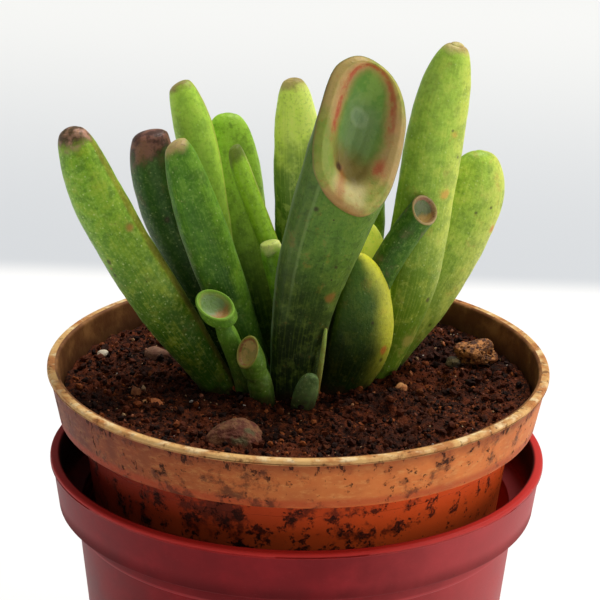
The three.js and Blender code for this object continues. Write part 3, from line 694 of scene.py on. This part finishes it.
stone("pebble_orange", (18.6, -0.6, -4.7), (1.2, 1.0, 0.9), 20, 83, 0.14, 0.08, brick)

# The left-hand leaves
# Hobbit jade leaves are fat, watery tubes that end in a blunt, dried tip. Their skin is a waxy
# green with tiny pale pores and red blotches, and it is painted lighter and yellower, as painted light,
# on the side the light reaches.

LEAF_SIDES = 72
LEAF_RINGS = 120
TIP_RINGS = 16
THROAT_LENGTH = 0.07
USUAL_WIDTH = 9

# The height and the size of each layer of unevenness in millimetres, and a shift of its seed.
SWELLS = [(0.16, 8, 0), (0.07, 2.6, 5), (0.025, 1, 9)]


def smooth(x):
    t = np.clip(x, 0, 1)
    return t * t * (3 - 2 * t)


def plain_tip(inward, east, near):
    """A dome: the share of the girth to the east and near, and the share of the dome's height."""
    share = np.cos(inward * math.pi / 2)
    return share * east, share * near, np.sin(inward * math.pi / 2) ** 1.3


class Leaf:
    """The shape of a leaf on its middle line, which bows between its buried foot and its tip.
    Sizes are in millimetres from the centre of the rim, and are close to the solid's. face is
    how many degrees the leaf's broad side turns to the right, from straight in front."""

    neck = 0.6
    swell = 0.4
    end = (1, 1)
    dome = 0.2
    lumps = 1
    cut = (0, 0)
    cut_from = 0.6
    square = 2
    flare = pinch = 0
    flare_from = 0.9
    mouth = staticmethod(plain_tip)
    ridges = ()

    def __init__(self, foot, tip, bow, width, thick, face=0, **shape):
        self.foot = np.array(foot, float)
        self.tip = np.array(tip, float)
        chord = self.tip - self.foot
        side = unit(np.array((chord[2], 0, -chord[0])))
        inner = (self.foot + chord / 3 + side * bow[0], self.foot + chord * 2 / 3 + side * bow[1])
        self.knots = (self.foot, *inner, self.tip)
        self.face = math.radians(face)
        for name, value in {"width": width, "thick": thick, **shape}.items():
            setattr(self, name, value)

    def girth(self, s):
        """The share of the full width at s, from the foot to the tip."""
        waist = self.neck + (1 - self.neck) * smooth(s / self.swell)
        shoulder, end = self.end
        if shoulder < 1:
            past = np.maximum(0, (s - shoulder) / (1 - shoulder))
            waist = waist * (end + (1 - end) * np.sqrt(np.maximum(0, 1 - past ** 2)))
        spread = np.maximum(0, (s - self.flare_from) / (1 - self.flare_from))
        spread = smooth(spread * 1.7) if self.pinch else spread ** 2
        throat = self.pinch * np.exp(-((s - self.flare_from) / THROAT_LENGTH) ** 2)
        return waist * (1 + self.flare * spread - throat)

    def skin(self, s, inward, angle):
        """Points of the skin, and what the shader wants to know about each of them. s runs up
        the leaf, inward from its end's edge to the middle, and angle round from its right."""
        s, inward, angle = np.broadcast_arrays(s, inward, angle)
        t = s[..., None]
        a, b, c, d = self.knots
        line = (1 - t) ** 3 * a + 3 * t * (1 - t) ** 2 * b + 3 * t * t * (1 - t) * c + t ** 3 * d
        along = unit((1 - t) ** 2 * (b - a) + 2 * t * (1 - t) * (c - b) + t * t * (d - c))
        outlook = np.array((math.sin(self.face), -math.cos(self.face), 0))
        front = unit(outlook - along * (along @ outlook)[..., None])
        across = np.cross(along, front)
        power = 2 / self.square
        east = np.sign(np.cos(angle)) * np.abs(np.cos(angle)) ** power
        near = np.sign(np.sin(angle)) * np.abs(np.sin(angle)) ** power
        mouth_x, mouth_y, rise = self.mouth(inward, east, near)
        x = self.width / 2 * self.girth(s) * mouth_x
        y = self.thick / 2 * self.girth(s) * mouth_y
        slant = smooth((s - self.cut_from) / (1 - self.cut_from))
        drop = (self.cut[0] * x + self.cut[1] * y) * slant
        off = unit(along - self.cut[0] * across - self.cut[1] * front)
        spots = line + across * x[..., None] + front * y[..., None]
        spots = spots + along * drop[..., None] + off * (self.dome * rise)[..., None]
        outward = unit(across * east[..., None] + front * near[..., None])
        for degrees, height, reach in self.ridges:
            turn = np.angle(np.exp(1j * (angle - math.radians(degrees))), deg=True)
            ridge = height * np.exp(-(turn / reach) ** 2) * smooth(s * 3) * smooth((1 - inward) * 2 - 1)
            spots = spots + outward * ridge[..., None]
        facts = {"along": s, "side": east, "inward": inward, "mouth_x": mouth_x, "mouth_y": mouth_y}
        return spots, outward, facts


def lumpy(spots, size, seed):
    """A slow swell of the skin at each point, from about -1 to 1."""
    shift = Vector((seed * 7.3, seed * 3.1, seed * 1.7))
    flat = spots.reshape(-1, 3) / size
    return np.array([noise.noise(Vector(p) + shift) for p in flat]).reshape(spots.shape[:-1])


def grow(node, seed, leaf, look):
    """Lofts a leaf's skin with the unevenness of real growth, and closes both its ends."""
    look.material.name = node + "_skin"
    u = np.linspace(0, 1, LEAF_RINGS + 1)
    body = 1 - (1 - u) ** 2 if leaf.end[0] < 1 else u
    end_rings = TIP_RINGS if leaf.mouth is plain_tip else 3 * TIP_RINGS
    caps = np.linspace(0, 1, end_rings + 1)[1:-1]
    s = np.concatenate([body, np.ones(len(caps))])[:, None]
    inward = np.concatenate([np.zeros(len(body)), caps])[:, None]
    angle = (np.arange(LEAF_SIDES) / LEAF_SIDES * math.tau)[None]
    spots, outward, facts = leaf.skin(s, inward, angle)
    swell = sum(height * lumpy(spots, size, seed + shift) for height, size, shift in SWELLS)
    swell = swell * leaf.lumps * min(1, leaf.width / USUAL_WIDTH) * (1 - inward) ** 0.5
    spots = spots + outward * swell[..., None]
    foot_along = unit(leaf.knots[1] - leaf.knots[0])
    heel = leaf.foot - foot_along * leaf.width * leaf.neck * 0.25
    middle = leaf.skin(np.array([1.0]), np.array([1.0]), np.array([0.0]))[0][0]
    verts = np.concatenate([[heel], spots.reshape(-1, 3), [middle]])
    verts[:, 2] += RIM
    stored = {key: np.concatenate([[0], values.ravel(), [0]]) for key, values in facts.items()}
    stored["along"][-1] = 1
    stored["inward"][-1] = 1
    settle(node + "_fresh", verts, loft_faces(len(s), LEAF_SIDES), look, [node], stored)


PURPLE = (80, 40, 40)
TAN = (196, 176, 106)
RUST = (176, 88, 30)
SPECK = (52, 34, 14)
STREAKS_ALONG = 5
STREAKS_ACROSS = 16


def leaf_skin(
    foot, crown, lit_colour, tip=None, foot_to=0.22, lit_share=0.3, uneven=1.4, streaky=1.0, mottle=0.45,
    wax=0.1, blush=0.1, pores=0.3, specks=0.12, bloom=0.05, west_sheen_or_shade=None, east=None, marks=(),
    tip_from=0.975, tip_soft=0.02, tip_pale=(154, 102, 86), glow=None,
):
    """Waxy green skin that turns from a foot colour to a crown colour, and on its right to a lit
    colour that is painted light. tip_from is where the dried tip begins, the west edge's colour and
    strength paint light on the leaf's left edge (a painted sheen, or on the oval painted shade), east
    is the colour and strength of its right edge, and marks are scars: a place and a radius in
    millimetres, and a colour for those that aren't dark specks. glow is a painted glow."""
    skin = Finish("leaf_skin", 0.28, {
        "Subsurface Weight": 0.22,
        "Subsurface Radius": (0.9, 1.0, 0.15),
        "Subsurface Scale": 2.0 * MM,
        "Sheen Weight": bloom,
        "Sheen Roughness": 0.4,
        "Sheen Tint": (0.8, 0.95, 0.75, 1),
    })
    along = skin.stored("along")
    side = skin.stored("side")
    broad = skin.clouds(6)
    patch = skin.clouds(2.4, 4, 0.62)
    fine = skin.clouds(0.6, 3, 0.65)
    streak_spot = skin.add("CombineXYZ", {}, {0: side * STREAKS_ACROSS, 1: along * STREAKS_ALONG})
    streak = skin.add("TexNoise", {}, {"Vector": streak_spot, "Scale": 1.0, "Detail": 3.0}, "Fac")
    # Painted light: lit marks the right side and the upper part, which take the lit colour as if lit
    # from the right.
    lit = (side + (broad - 0.5) * uneven).step(0.0, 1.0) * along.step(0.12, 0.6)
    pits = skin.dots(1.0, 0.15, 0.6) + skin.dots(0.6, 0.09, 0.5) * 0.5
    pale, wax_green, deep_shade = (206, 222, 140), (142, 172, 96), (20, 46, 4)
    coats = [
        ((along + (broad - 0.5) * 0.35).step(foot_to, 0.85), crown),
        (lit * lit_share, lit_colour),
        (streak.step(0.5, 0.36) * 0.22 * streaky, lit_colour),
        (patch.step(0.5, 0.34) * 0.32 * streaky, lit_colour),
        (patch.step(0.46, 0.66) * mottle, foot),
        (streak.step(0.5, 0.68) * 0.07 * streaky, deep_shade),
        (broad.step(0.5, 0.72) * wax, wax_green),
        (skin.clouds(3.0, 4, 0.7).step(0.57, 0.7) * blush, RUST),
        (fine.step(0.5, 0.72) * 0.3, foot),
        (fine.step(0.5, 0.3) * pores * 0.25, pale),
        (pits * pores * 0.8, pale),
    ]
    # Painted light on the west edge: a pale painted sheen, and for the oval a painted shade.
    for edge, way in ((west_sheen_or_shade, -1), (east, 1)):
        if edge:
            *colour, strength = edge
            rim = (side * way + (patch - 0.5) * 0.06).step(0.95, 0.995)
            coats.append((rim * strength, tuple(colour)))
    coats.append((skin.dots(2.7, 0.16, specks, 0.3) * 0.9, SPECK))
    for x, y, z, radius, *colour in marks:
        coats.append((skin.near((x, y, z), radius, patch) * 0.75, *(colour or [SPECK])))
    dirt = (skin.axis("Z") + (patch - 0.5) * 9).step(RIM - 2.2, RIM - 4.6)
    coats.append((dirt * 0.75, (46, 24, 12)))
    if tip:
        dry = (along + (patch - 0.5) * tip_soft * 3).step(tip_from - tip_soft, tip_from + tip_soft)
        pale_spots = patch.step(0.42, 0.62)
        dried = skin.paint(tip, (pale_spots, tip_pale), (fine.step(0.55, 0.7) * 0.5, (60, 34, 30)))
        coats.append((dry * 0.92, dried))
    skin.colour = skin.paint(foot, *coats)
    skin.patch = patch
    relief = fine * 0.7 + patch * 0.6 + pits * 0.35 + skin.clouds(0.28, 2, 0.5) * 0.25
    skin.wear(skin.colour, 0.34 + fine * 0.16 + broad * 0.12, relief, 0.13)
    # Painted light: a glow of emission that grows up the leaf and to its right.
    if glow:
        skin.glow((along + side * 0.2).step(0.3, 0.9), glow)
    return skin


grow("leaf_left_long", 1, Leaf(
    (-11.5, -1, -9), (-40, -5, 44), (-1, -4.5), 9.8, 8.4, -20, swell=0.45, end=(0.7, 0.32), dome=0.5,
), leaf_skin(
    (56, 100, 10), (128, 176, 28), (176, 188, 48), PURPLE, tip_from=0.965, lit_share=0.15, wax=0.15,
    blush=0.12, pores=0.75, specks=0.1, foot_to=0.25, tip_pale=(196, 144, 122),
    east=(140, 84, 40, 0.4), west_sheen_or_shade=(176, 190, 140, 0.5),
    marks=(
        (-29.8, -7, 108.3, 1, (170, 112, 44)), (-33.5, -6.3, 101.5, 0.5), (-32.6, -6, 98.8, 0.6),
        (-31.7, -5.7, 96.1, 0.5), (-33, -6, 100.2, 0.35, (150, 90, 40)),
    ),
))

grow("leaf_left_dark", 2, Leaf(
    (-10, 6.5, -8), (-27, 6, 40), (2, -5.5), 8.7, 7.4, -10,
    neck=0.7, end=(0.74, 0.68), cut=(0.2, 0), dome=0.8,
), leaf_skin(
    (38, 76, 14), (56, 96, 28), (84, 124, 40), PURPLE, tip_from=0.93, tip_soft=0.045, pores=0.45,
    west_sheen_or_shade=(120, 140, 96, 0.5),
    marks=((-23.8, 2.4, 106.5, 0.7, (70, 48, 30)),),
))

grow("leaf_left_front", 3, Leaf(
    (-5.5, 0.5, -9), (-22.3, 0, 40.3), (0.3, -0.7), 8.4, 7.6,
    swell=0.6, end=(0.6, 0.38), cut=(0.33, 0), dome=0.5,
), leaf_skin(
    (52, 96, 12), (84, 140, 22), (144, 190, 52), TAN, tip_from=0.985, lit_share=0.4, wax=0.15, pores=0.5,
    specks=0.1, west_sheen_or_shade=(206, 214, 164, 0.7), tip_pale=(206, 176, 120),
))

grow("leaf_left_tall", 4, Leaf(
    (-7.5, 9, -8), (-22.2, 14, 47), (-5.5, 2.5), 7.2, 6.6,
    neck=0.7, end=(0.78, 0.46), cut=(0.12, 0), dome=0.4,
), leaf_skin(
    (104, 156, 30), (170, 214, 60), (190, 214, 76), (112, 84, 44), tip_from=0.992, lit_share=0.4,
    blush=0.15, specks=0.08, east=(170, 110, 50, 0.4), glow=(0.05, 0.075, 0.012),
))

grow("leaf_slim", 5, Leaf(
    (-1, 6.8, -8), (-12.2, 6.6, 37.7), (5.5, 1), 3.6, 4.4,
    neck=0.7, end=(0.86, 0.5), cut=(0.4, 0), cut_from=0.8, dome=0.3,
), leaf_skin(
    (70, 112, 16), (146, 196, 40), (166, 204, 60), (74, 84, 34), tip_from=0.95, lit_share=0.4, blush=0.15,
    specks=0.1, tip_pale=(110, 120, 60), east=(180, 150, 80, 0.5), glow=(0.04, 0.06, 0.002),
))

# The leaves at the back
# Three leaves that stand behind the rest. The light comes from there, and where it shines through
# the crowns of two of them, their crowns are painted lighter and carry a painted glow.

grow("leaf_back_broad", 6, Leaf(
    (-4.5, 12.5, -8), (-13.5, 18, 40.5), (-2.5, -3), 11.4, 7, end=(0.72, 0.18),
), leaf_skin(
    (60, 98, 20), (160, 208, 56), (176, 214, 76), lit_share=0.4, wax=0.15, blush=0.05, pores=0.25,
    specks=0.04, glow=(0.04, 0.06, 0.006),
))

grow("leaf_back_flat_tip", 7, Leaf(
    (1, 12, -8), (-2, 14, 48.3), (-0.5, 1.5), 9.2, 7.2, end=(0.62, 0.26), dome=0.3,
), leaf_skin(
    (70, 114, 18), (222, 244, 92), (240, 248, 136), (128, 76, 60), tip_from=0.979,
    tip_pale=(172, 132, 98), foot_to=0.7, lit_share=0.7, blush=0.05, pores=0.25, specks=0.06, mottle=0.2,
    glow=(0.09, 0.12, 0.02),
))

grow("leaf_behind_trumpet", 8, Leaf(
    (5.5, 9, -8), (12.2, 10, 33), (1.5, 2), 7.4, 5, swell=0.5, end=(0.6, 0.2),
), leaf_skin(
    (60, 92, 24), (116, 156, 44), (150, 180, 66), lit_share=0.4, blush=0.05,
))

# The right-hand leaves
# The tallest leaf and the broad one that leans out beside it, both painted lighter and yellower,
# as painted light, on the side that the light reaches.

grow("leaf_right_tall", 9, Leaf(
    (13, 6, -8), (26.7, 6, 57.4), (5.5, -1.5), 10.4, 7.8, 10, neck=0.5, end=(0.72, 0.25), dome=0.6,
), leaf_skin(
    (104, 140, 24), (160, 200, 56), (212, 218, 84), (166, 126, 84), tip_from=0.988, tip_soft=0.012,
    foot_to=0.2, lit_share=0.75, wax=0.15, blush=0.2, pores=0.45, specks=0.14, tip_pale=(214, 196, 128),
    east=(190, 150, 70, 0.5), glow=(0.05, 0.06, 0.015),
    marks=(
        (26.7, 3.4, 123, 0.9, (206, 168, 60)), (25.3, 3.2, 111.9, 1.1, (214, 150, 60)),
        (26.3, 3.1, 123.8, 0.3), (27.4, 4.3, 118.6, 0.4), (23, 4.1, 91.7, 0.5),
        (19.7, 4.1, 83.9, 1.6, (190, 176, 84)),
    ),
))

grow("leaf_right_outer", 10, Leaf(
    (13.5, 10, -8), (32, 16, 35), (-1.5, 6), 13, 7.4, 20, end=(0.78, 0.14),
), leaf_skin(
    (100, 136, 28), (170, 204, 64), (222, 226, 100), foot_to=0.2, lit_share=0.85, blush=0.25, pores=0.4,
    specks=0.14, east=(214, 176, 80, 0.7),
    marks=(
        (31.5, 11.3, 105.9, 0.4), (34.2, 12.8, 106.4, 0.35),
        (34.6, 14.1, 101.9, 0.8, (214, 116, 50)), (23.9, 10.4, 84.5, 0.5),
    ),
))

# The short leaves in the middle
# Young leaves: the broad oval one in front, its yellow neighbour, a cut-off stub, a bud and
# the dry sliver of an old leaf.

grow("leaf_front_oval", 11, Leaf(
    (5.5, -1.5, -8), (9.3, -3, 21.4), (4.5, 5), 12.8, 7.6, 20, swell=0.5, end=(0.3, 0.12),
), leaf_skin(
    # Painted light: the near-black foot and west edge are painted shade where the trumpet shades the
    # leaf, and the yellow lit colour over its right side is painted light.
    (20, 40, 2), (64, 100, 6), (226, 224, 62), foot_to=0.3, lit_share=1, wax=0, blush=0.12, pores=0.1,
    specks=0.2, bloom=0.02, streaky=0.1, mottle=0.05, uneven=0.6, west_sheen_or_shade=(20, 34, 6, 0.9),
    east=(190, 120, 50, 0.4),
    marks=(
        (15.2, -3.7, 84.9, 0.9, (196, 96, 40)), (13, -5.4, 90.7, 0.4), (14.7, -3.5, 82.9, 0.5),
        (13.9, -4.4, 87.2, 0.3),
    ),
))

grow("leaf_yellow", 12, Leaf(
    (7.5, 4, -8), (11.2, 3.5, 25.2), (4.5, 4), 9, 5.6, 20, swell=0.5, end=(0.4, 0.12),
), leaf_skin(
    # Painted light: its bright yellow-green colours and its glow make a leaf that stands in the large
    # trumpet's shade look lit.
    (150, 176, 40), (236, 244, 84), (246, 244, 110), lit_share=0.8, wax=0, blush=0.05, pores=0.2,
    specks=0.08, glow=(0.17, 0.2, 0.02),
))

grow("leaf_stub", 13, Leaf(
    (0.2, 1.8, -8), (-5.5, 2.2, 21.6), (1, 0.5), 4, 3.8,
    neck=0.7, swell=0.8, end=(0.94, 0.8), dome=0.25,
), leaf_skin(
    (50, 88, 10), (120, 172, 30), (150, 190, 50), (214, 224, 122), tip_from=0.965, tip_soft=0.03,
    wax=0.05, blush=0.05, specks=0.05, tip_pale=(240, 246, 150),
))

grow("bud_front", 14, Leaf(
    (0.5, -8.4, -8.5), (2.5, -11, 1.8), (-0.4, -0.6), 4.4, 2.4, 10, neck=0.7, end=(0.5, 0.3),
), leaf_skin(
    (66, 90, 40), (104, 134, 74), (120, 140, 84), wax=0.3, pores=0.7, specks=0.1,
))

grow("dry_sliver", 15, Leaf(
    (2.6, -6.6, -8), (4.7, -8, 9.3), (0.2, 0.2), 1, 0.8, 10, neck=1, end=(0.5, 0.4), dome=0.1,
), leaf_skin(
    (140, 110, 40), (158, 186, 84), (190, 204, 120), wax=0, blush=0.2, pores=0.2,
))

# The trumpet leaves
# On these the leaf's two edges have grown together into a tube that opens in a slanted mouth:
# a thick rolled lip round a hollow, flushed red along the hollow's edge.


def trumpet(lip, hollow, squeeze, lift=0):
    """A rolled lip that falls into a hollow. lip and hollow are heights in millimetres, squeeze
    narrows the hollow, and lift moves it up the slanted end, so that the lip is thinnest there."""
    inwards = [0, 0.08, 0.18, 0.30, 0.40, 0.52, 0.68, 0.84, 1.0]
    shares = [1, 0.975, 0.925, 0.86, 0.79, 0.68, 0.5, 0.27, 0.0]
    rises = [0, 0.6, 1, 0.75, 0, 0, 0, 0, 0]
    falls = [0, 0, 0, 0, 0, 0.5, 0.85, 0.97, 1.0]

    def mouth(inward, east, near):
        share = np.interp(inward, inwards, shares)
        y = share * near - lift * smooth((1 - share) / 0.24)
        depth = hollow * (0.3 + 0.7 * smooth((y + 0.95) / 1.2))
        rise = lip * np.interp(inward, inwards, rises) - depth * np.interp(inward, inwards, falls)
        return share ** squeeze * east, y, rise

    return mouth


def flushed_mouth(skin):
    """Adds the large trumpet's crease and darker flank, and colours its mouth: a fleshy lip, a green
    hollow with a pale ring and a pit, and a broken red line between the two."""
    ragged = skin.patch - 0.5
    side = skin.stored("side") + ragged * 0.06
    up = skin.stored("along").step(0.3, 0.55)
    flank = side.step(-0.5, -0.6) * up
    crease = abs(side + 0.55).step(0.06, 0.01) * up
    tube = skin.paint(skin.colour, (flank * 0.3, (70, 82, 42)), (crease * 0.26, (158, 184, 110)))
    inward = skin.stored("inward")
    mouth_x = skin.stored("mouth_x")
    mouth_y = skin.stored("mouth_y")
    ragged_in = inward + ragged * 0.1
    ragged_x = mouth_x + ragged * 0.12
    ragged_y = mouth_y + (skin.clouds(1.4, 3, 0.5) - 0.5) * 0.12
    patch = skin.clouds(2.6).step(0.4, 0.6)

    def field(left, right, top, foot, soft):
        """A soft-edged field of the mouth, seen from in front: x to the right and y downwards."""
        across = ragged_x.step(left - soft, left + soft) * ragged_x.step(right + soft, right - soft)
        return across * ragged_y.step(top - soft, top + soft) * ragged_y.step(foot + soft, foot - soft)

    def away(x, y):
        """The distance from a point of the mouth, which is longer down than across."""
        return ((mouth_x - x) ** 2 + ((mouth_y - y) * 1.7) ** 2) ** 0.5

    flesh = skin.paint(
        (176, 168, 84),
        (patch, (140, 154, 62)),
        (field(-1.2, -0.2, -1.1, 0, 0.2) * 0.6, (196, 158, 104)),
        (field(-1.2, -0.3, 0.1, 0.7, 0.2) * 0.7, (124, 150, 54)),
        (field(0.3, 1.2, -0.6, 0.35, 0.2) * 0.6, (188, 140, 100)),
        (field(-0.3, 0.42, 0.5, 0.86, 0.14) * 0.8, (220, 204, 142)),
        (field(-0.5, 0.9, 0.86, 1.3, 0.08) * 0.6, (176, 116, 76)),
        (skin.clouds(1.5, 4, 0.65).step(0.54, 0.72) * 0.35, RUST),
    )
    hollow = skin.paint(
        (92, 138, 40),
        (patch, (118, 152, 60)),
        (field(-0.35, 0.4, -0.45, 0.25, 0.2) * 0.75, (112, 136, 84)),
        (field(-0.6, 0.5, 0.24, 0.75, 0.16) * 0.75, (132, 96, 48)),
    )
    flush = field(-1.2, 0.1, -1.3, 0.2, 0.16) + field(0.1, 1.2, -1.3, -0.3, 0.16) * 0.8
    flush = flush + field(0.2, 1, 0.1, 0.35, 0.1) * 0.8
    halo = abs(ragged_in - 0.36).step(0.2, 0.02) * 0.45
    line = abs(ragged_in - 0.37).step(0.08, 0.01) * skin.clouds(1.8).step(0.3, 0.55)
    ring = away(-0.04, -0.24)
    mouth = skin.paint(
        flesh,
        (ragged_in.step(0.34, 0.5), hollow),
        (field(-0.24, -0.04, 0.5, 0.9, 0.1) * 0.55, (178, 88, 40)),
        (halo * flush, (196, 122, 84)),
        (line * flush * 0.8, (178, 66, 44)),
        (ring.step(0.24, 0.1) * 0.35, (120, 146, 110)),
        (abs(ring - 0.17).step(0.09, 0.01) * 0.2, (172, 186, 140)),
        (away(-0.22, 0.5).step(0.13, 0.04) * 0.85, (56, 22, 10)),
        (abs(inward - 0.02).step(0.035, 0.005) * 0.5, (140, 92, 70)),
    )
    skin.vary("Base Color", skin.paint(tube, (inward.step(0, 0.025), mouth)))
    return skin


grow("leaf_trumpet_large", 16, Leaf(
    (-0.5, -4, -8), (9.7, -9, 45.1), (-5, -2), 15.2, 9.6, 6,
    neck=0.54, swell=0.9, square=2.4, flare=0.09, flare_from=0.72, cut=(-0.35, -2.25), cut_from=0.3,
    dome=1, mouth=trumpet(1.1, 2.8, 2.4, 0.14), lumps=1.3,
    ridges=((135, 0.28, 9), (215, 0.2, 12), (62, 0.15, 14)),
), flushed_mouth(leaf_skin(
    # Painted shade: the near-black foot colour darkens the tube low among the leaves; the pale west
    # edge is a painted sheen.
    (20, 38, 4), (92, 132, 38), (124, 146, 50), foot_to=0.2, lit_share=0.35, wax=0.3, blush=0.25, pores=0.1,
    specks=0.25, bloom=0.08, mottle=0.3, west_sheen_or_shade=(150, 172, 130, 0.5), east=(150, 110, 60, 0.35),
    marks=(
        (2.5, -12.7, 114.2, 0.5), (6.2, -10.9, 103, 0.4), (-4.2, -8, 96.8, 0.5),
        (-4.1, -8, 95.1, 0.45), (5.3, -9.1, 96.6, 1.1, (150, 96, 44)),
        (11.1, -12.6, 113.5, 0.45, (80, 48, 24)),
    ),
)))


def plain_mouth(skin, lip, upper, edge, lower):
    """Carries a small trumpet's skin over its lip, and colours its hollow's ragged edge and the
    hollow's upper and lower half."""
    blotch = skin.clouds(1.3, 4, 0.65)
    inward = skin.stored("inward") + (skin.patch - 0.5) * 0.16
    down = skin.stored("mouth_y") + skin.stored("mouth_x") * 0.5 + (blotch - 0.5) * 0.6
    hollow = skin.paint(
        upper,
        (blotch.step(0.46, 0.64) * 0.55, skin.colour),
        (down.step(0, 0.4) * 0.85, lower),
    )
    ragged = abs(inward - 0.42).step(0.13, 0.03) * (0.3 + blotch.step(0.42, 0.56) * 0.5)
    skin.vary("Base Color", skin.paint(
        skin.colour,
        (inward.step(0, 0.08), lip),
        (inward.step(0.36, 0.5), hollow),
        (ragged, edge),
        (skin.dots(0.8, 0.13, 0.3) * inward.step(0.1, 0.2) * 0.6, (84, 44, 24)),
    ))
    return skin


grow("leaf_trumpet_right", 17, Leaf(
    (8.5, 2, -8), (21.6, 0, 28.9), (-4, -4), 5.4, 5.2, 25,
    neck=0.7, cut=(0.15, -0.6), cut_from=0.7, dome=1, mouth=trumpet(0.4, 1.2, 1),
), plain_mouth(leaf_skin(
    (40, 64, 14), (58, 106, 16), (116, 150, 50), wax=0.08, pores=0.4, bloom=0.02,
), (176, 150, 104), (112, 124, 84), (150, 96, 72), (190, 150, 76)))

grow("offset_trumpet", 18, Leaf(
    (-9, -3.4, -8), (-14.8, -8, 13.3), (2, 0.5), 3.7, 3.6, 15,
    neck=1, swell=0.7, flare=0.68, flare_from=0.82, pinch=0.2, cut=(-0.4, -0.6), cut_from=0.7,
    dome=1, mouth=trumpet(0.4, 1.5, 1),
), plain_mouth(leaf_skin(
    (50, 84, 12), (88, 136, 24), (140, 180, 54), pores=0.4,
), (124, 164, 50), (122, 148, 90), (150, 160, 76), (172, 122, 66)))

grow("offset_scarred", 19, Leaf(
    (-6, -7, -8), (-8.9, -10, 5.4), (1, 1), 4.5, 4.3, -25,
    neck=0.95, flare=0.1, flare_from=0.66, pinch=0.14, cut=(0.2, -0.75), cut_from=0.3,
    dome=1, mouth=trumpet(0.25, 0.6, 1),
), plain_mouth(leaf_skin(
    (44, 76, 12), (84, 126, 26), (124, 156, 48), blush=0.15, pores=0.5,
), (146, 136, 58), (188, 158, 84), (150, 74, 44), (166, 150, 72)))

# The studio
# A plain pale floor that turns greyer far behind the pot, one big soft light from above and
# behind on the right, a weak one from the right, and the camera at the photograph's angle.

PAPER_EDGE = 264
PAPER_EDGE_SLOPE = 0.045
PAPER_END = 560
FLOOR_SIZE = 12.0
paper = Finish("pale_floor", 0.0, {"Roughness": 1.0})
paper_far = paper.axis("Y") + paper.axis("X") * PAPER_EDGE_SLOPE
paper_back = paper.paint(
    (0.63, 0.655, 0.69, 1),
    (paper_far.step(PAPER_EDGE, PAPER_END), (0.86, 0.87, 0.87, 1)),
)
paper_turn = paper_far.step(PAPER_EDGE - 8, PAPER_EDGE + 10)
paper.vary("Base Color", paper.paint((0.95, 0.95, 0.955, 1), (paper_turn, paper_back)))
bpy.ops.mesh.primitive_plane_add(size=FLOOR_SIZE)
floor = bpy.context.object
floor.name = "floor"
floor.data.materials.append(paper.material)

world = bpy.data.worlds.new("studio")
world.use_nodes = True
sky = world.node_tree.nodes["Background"].inputs
sky["Color"].default_value = (0.97, 0.98, 1.0, 1)
sky["Strength"].default_value = 0.24
bpy.context.scene.world = world

TARGET = Vector((0.07 * MM, 0, (RIM + 11.64) * MM))


def lamp(name, kind, place, power, colour, **settings):
    """A soft light that faces the plant."""
    bpy.ops.object.light_add(type=kind, location=place)
    light = bpy.context.object
    light.name = name
    light.rotation_euler = (TARGET - light.location).to_track_quat("-Z", "Y").to_euler()
    for key, value in {"energy": power, "color": colour, **settings}.items():
        setattr(light.data, key, value)


lamp("key_light", "SUN", (0.36, 0.36, 1.1), 2.85, (1.0, 0.985, 0.95), angle=math.radians(32))
lamp("side_light", "AREA", (0.9, -0.25, 0.35), 3.0, (1.0, 0.98, 0.95), shape="SQUARE", size=0.5)

CAMERA_DISTANCE = 529.1 * MM
CAMERA_TILT = math.radians(90 - 20.52)
CAMERA_ROLL = math.radians(1.10)
CAMERA_LENS = 178.3
bpy.ops.object.camera_add()
camera = bpy.context.object
camera.name = "camera"
camera.data.lens = CAMERA_LENS
camera.data.clip_start = 0.01
turn = Matrix.Rotation(CAMERA_TILT, 4, "X") @ Matrix.Rotation(CAMERA_ROLL, 4, "Z")
camera.matrix_world = Matrix.Translation(TARGET) @ turn @ Matrix.Translation((0, 0, CAMERA_DISTANCE))
bpy.context.scene.camera = camera
bpy.context.scene.view_settings.view_transform = "Standard"
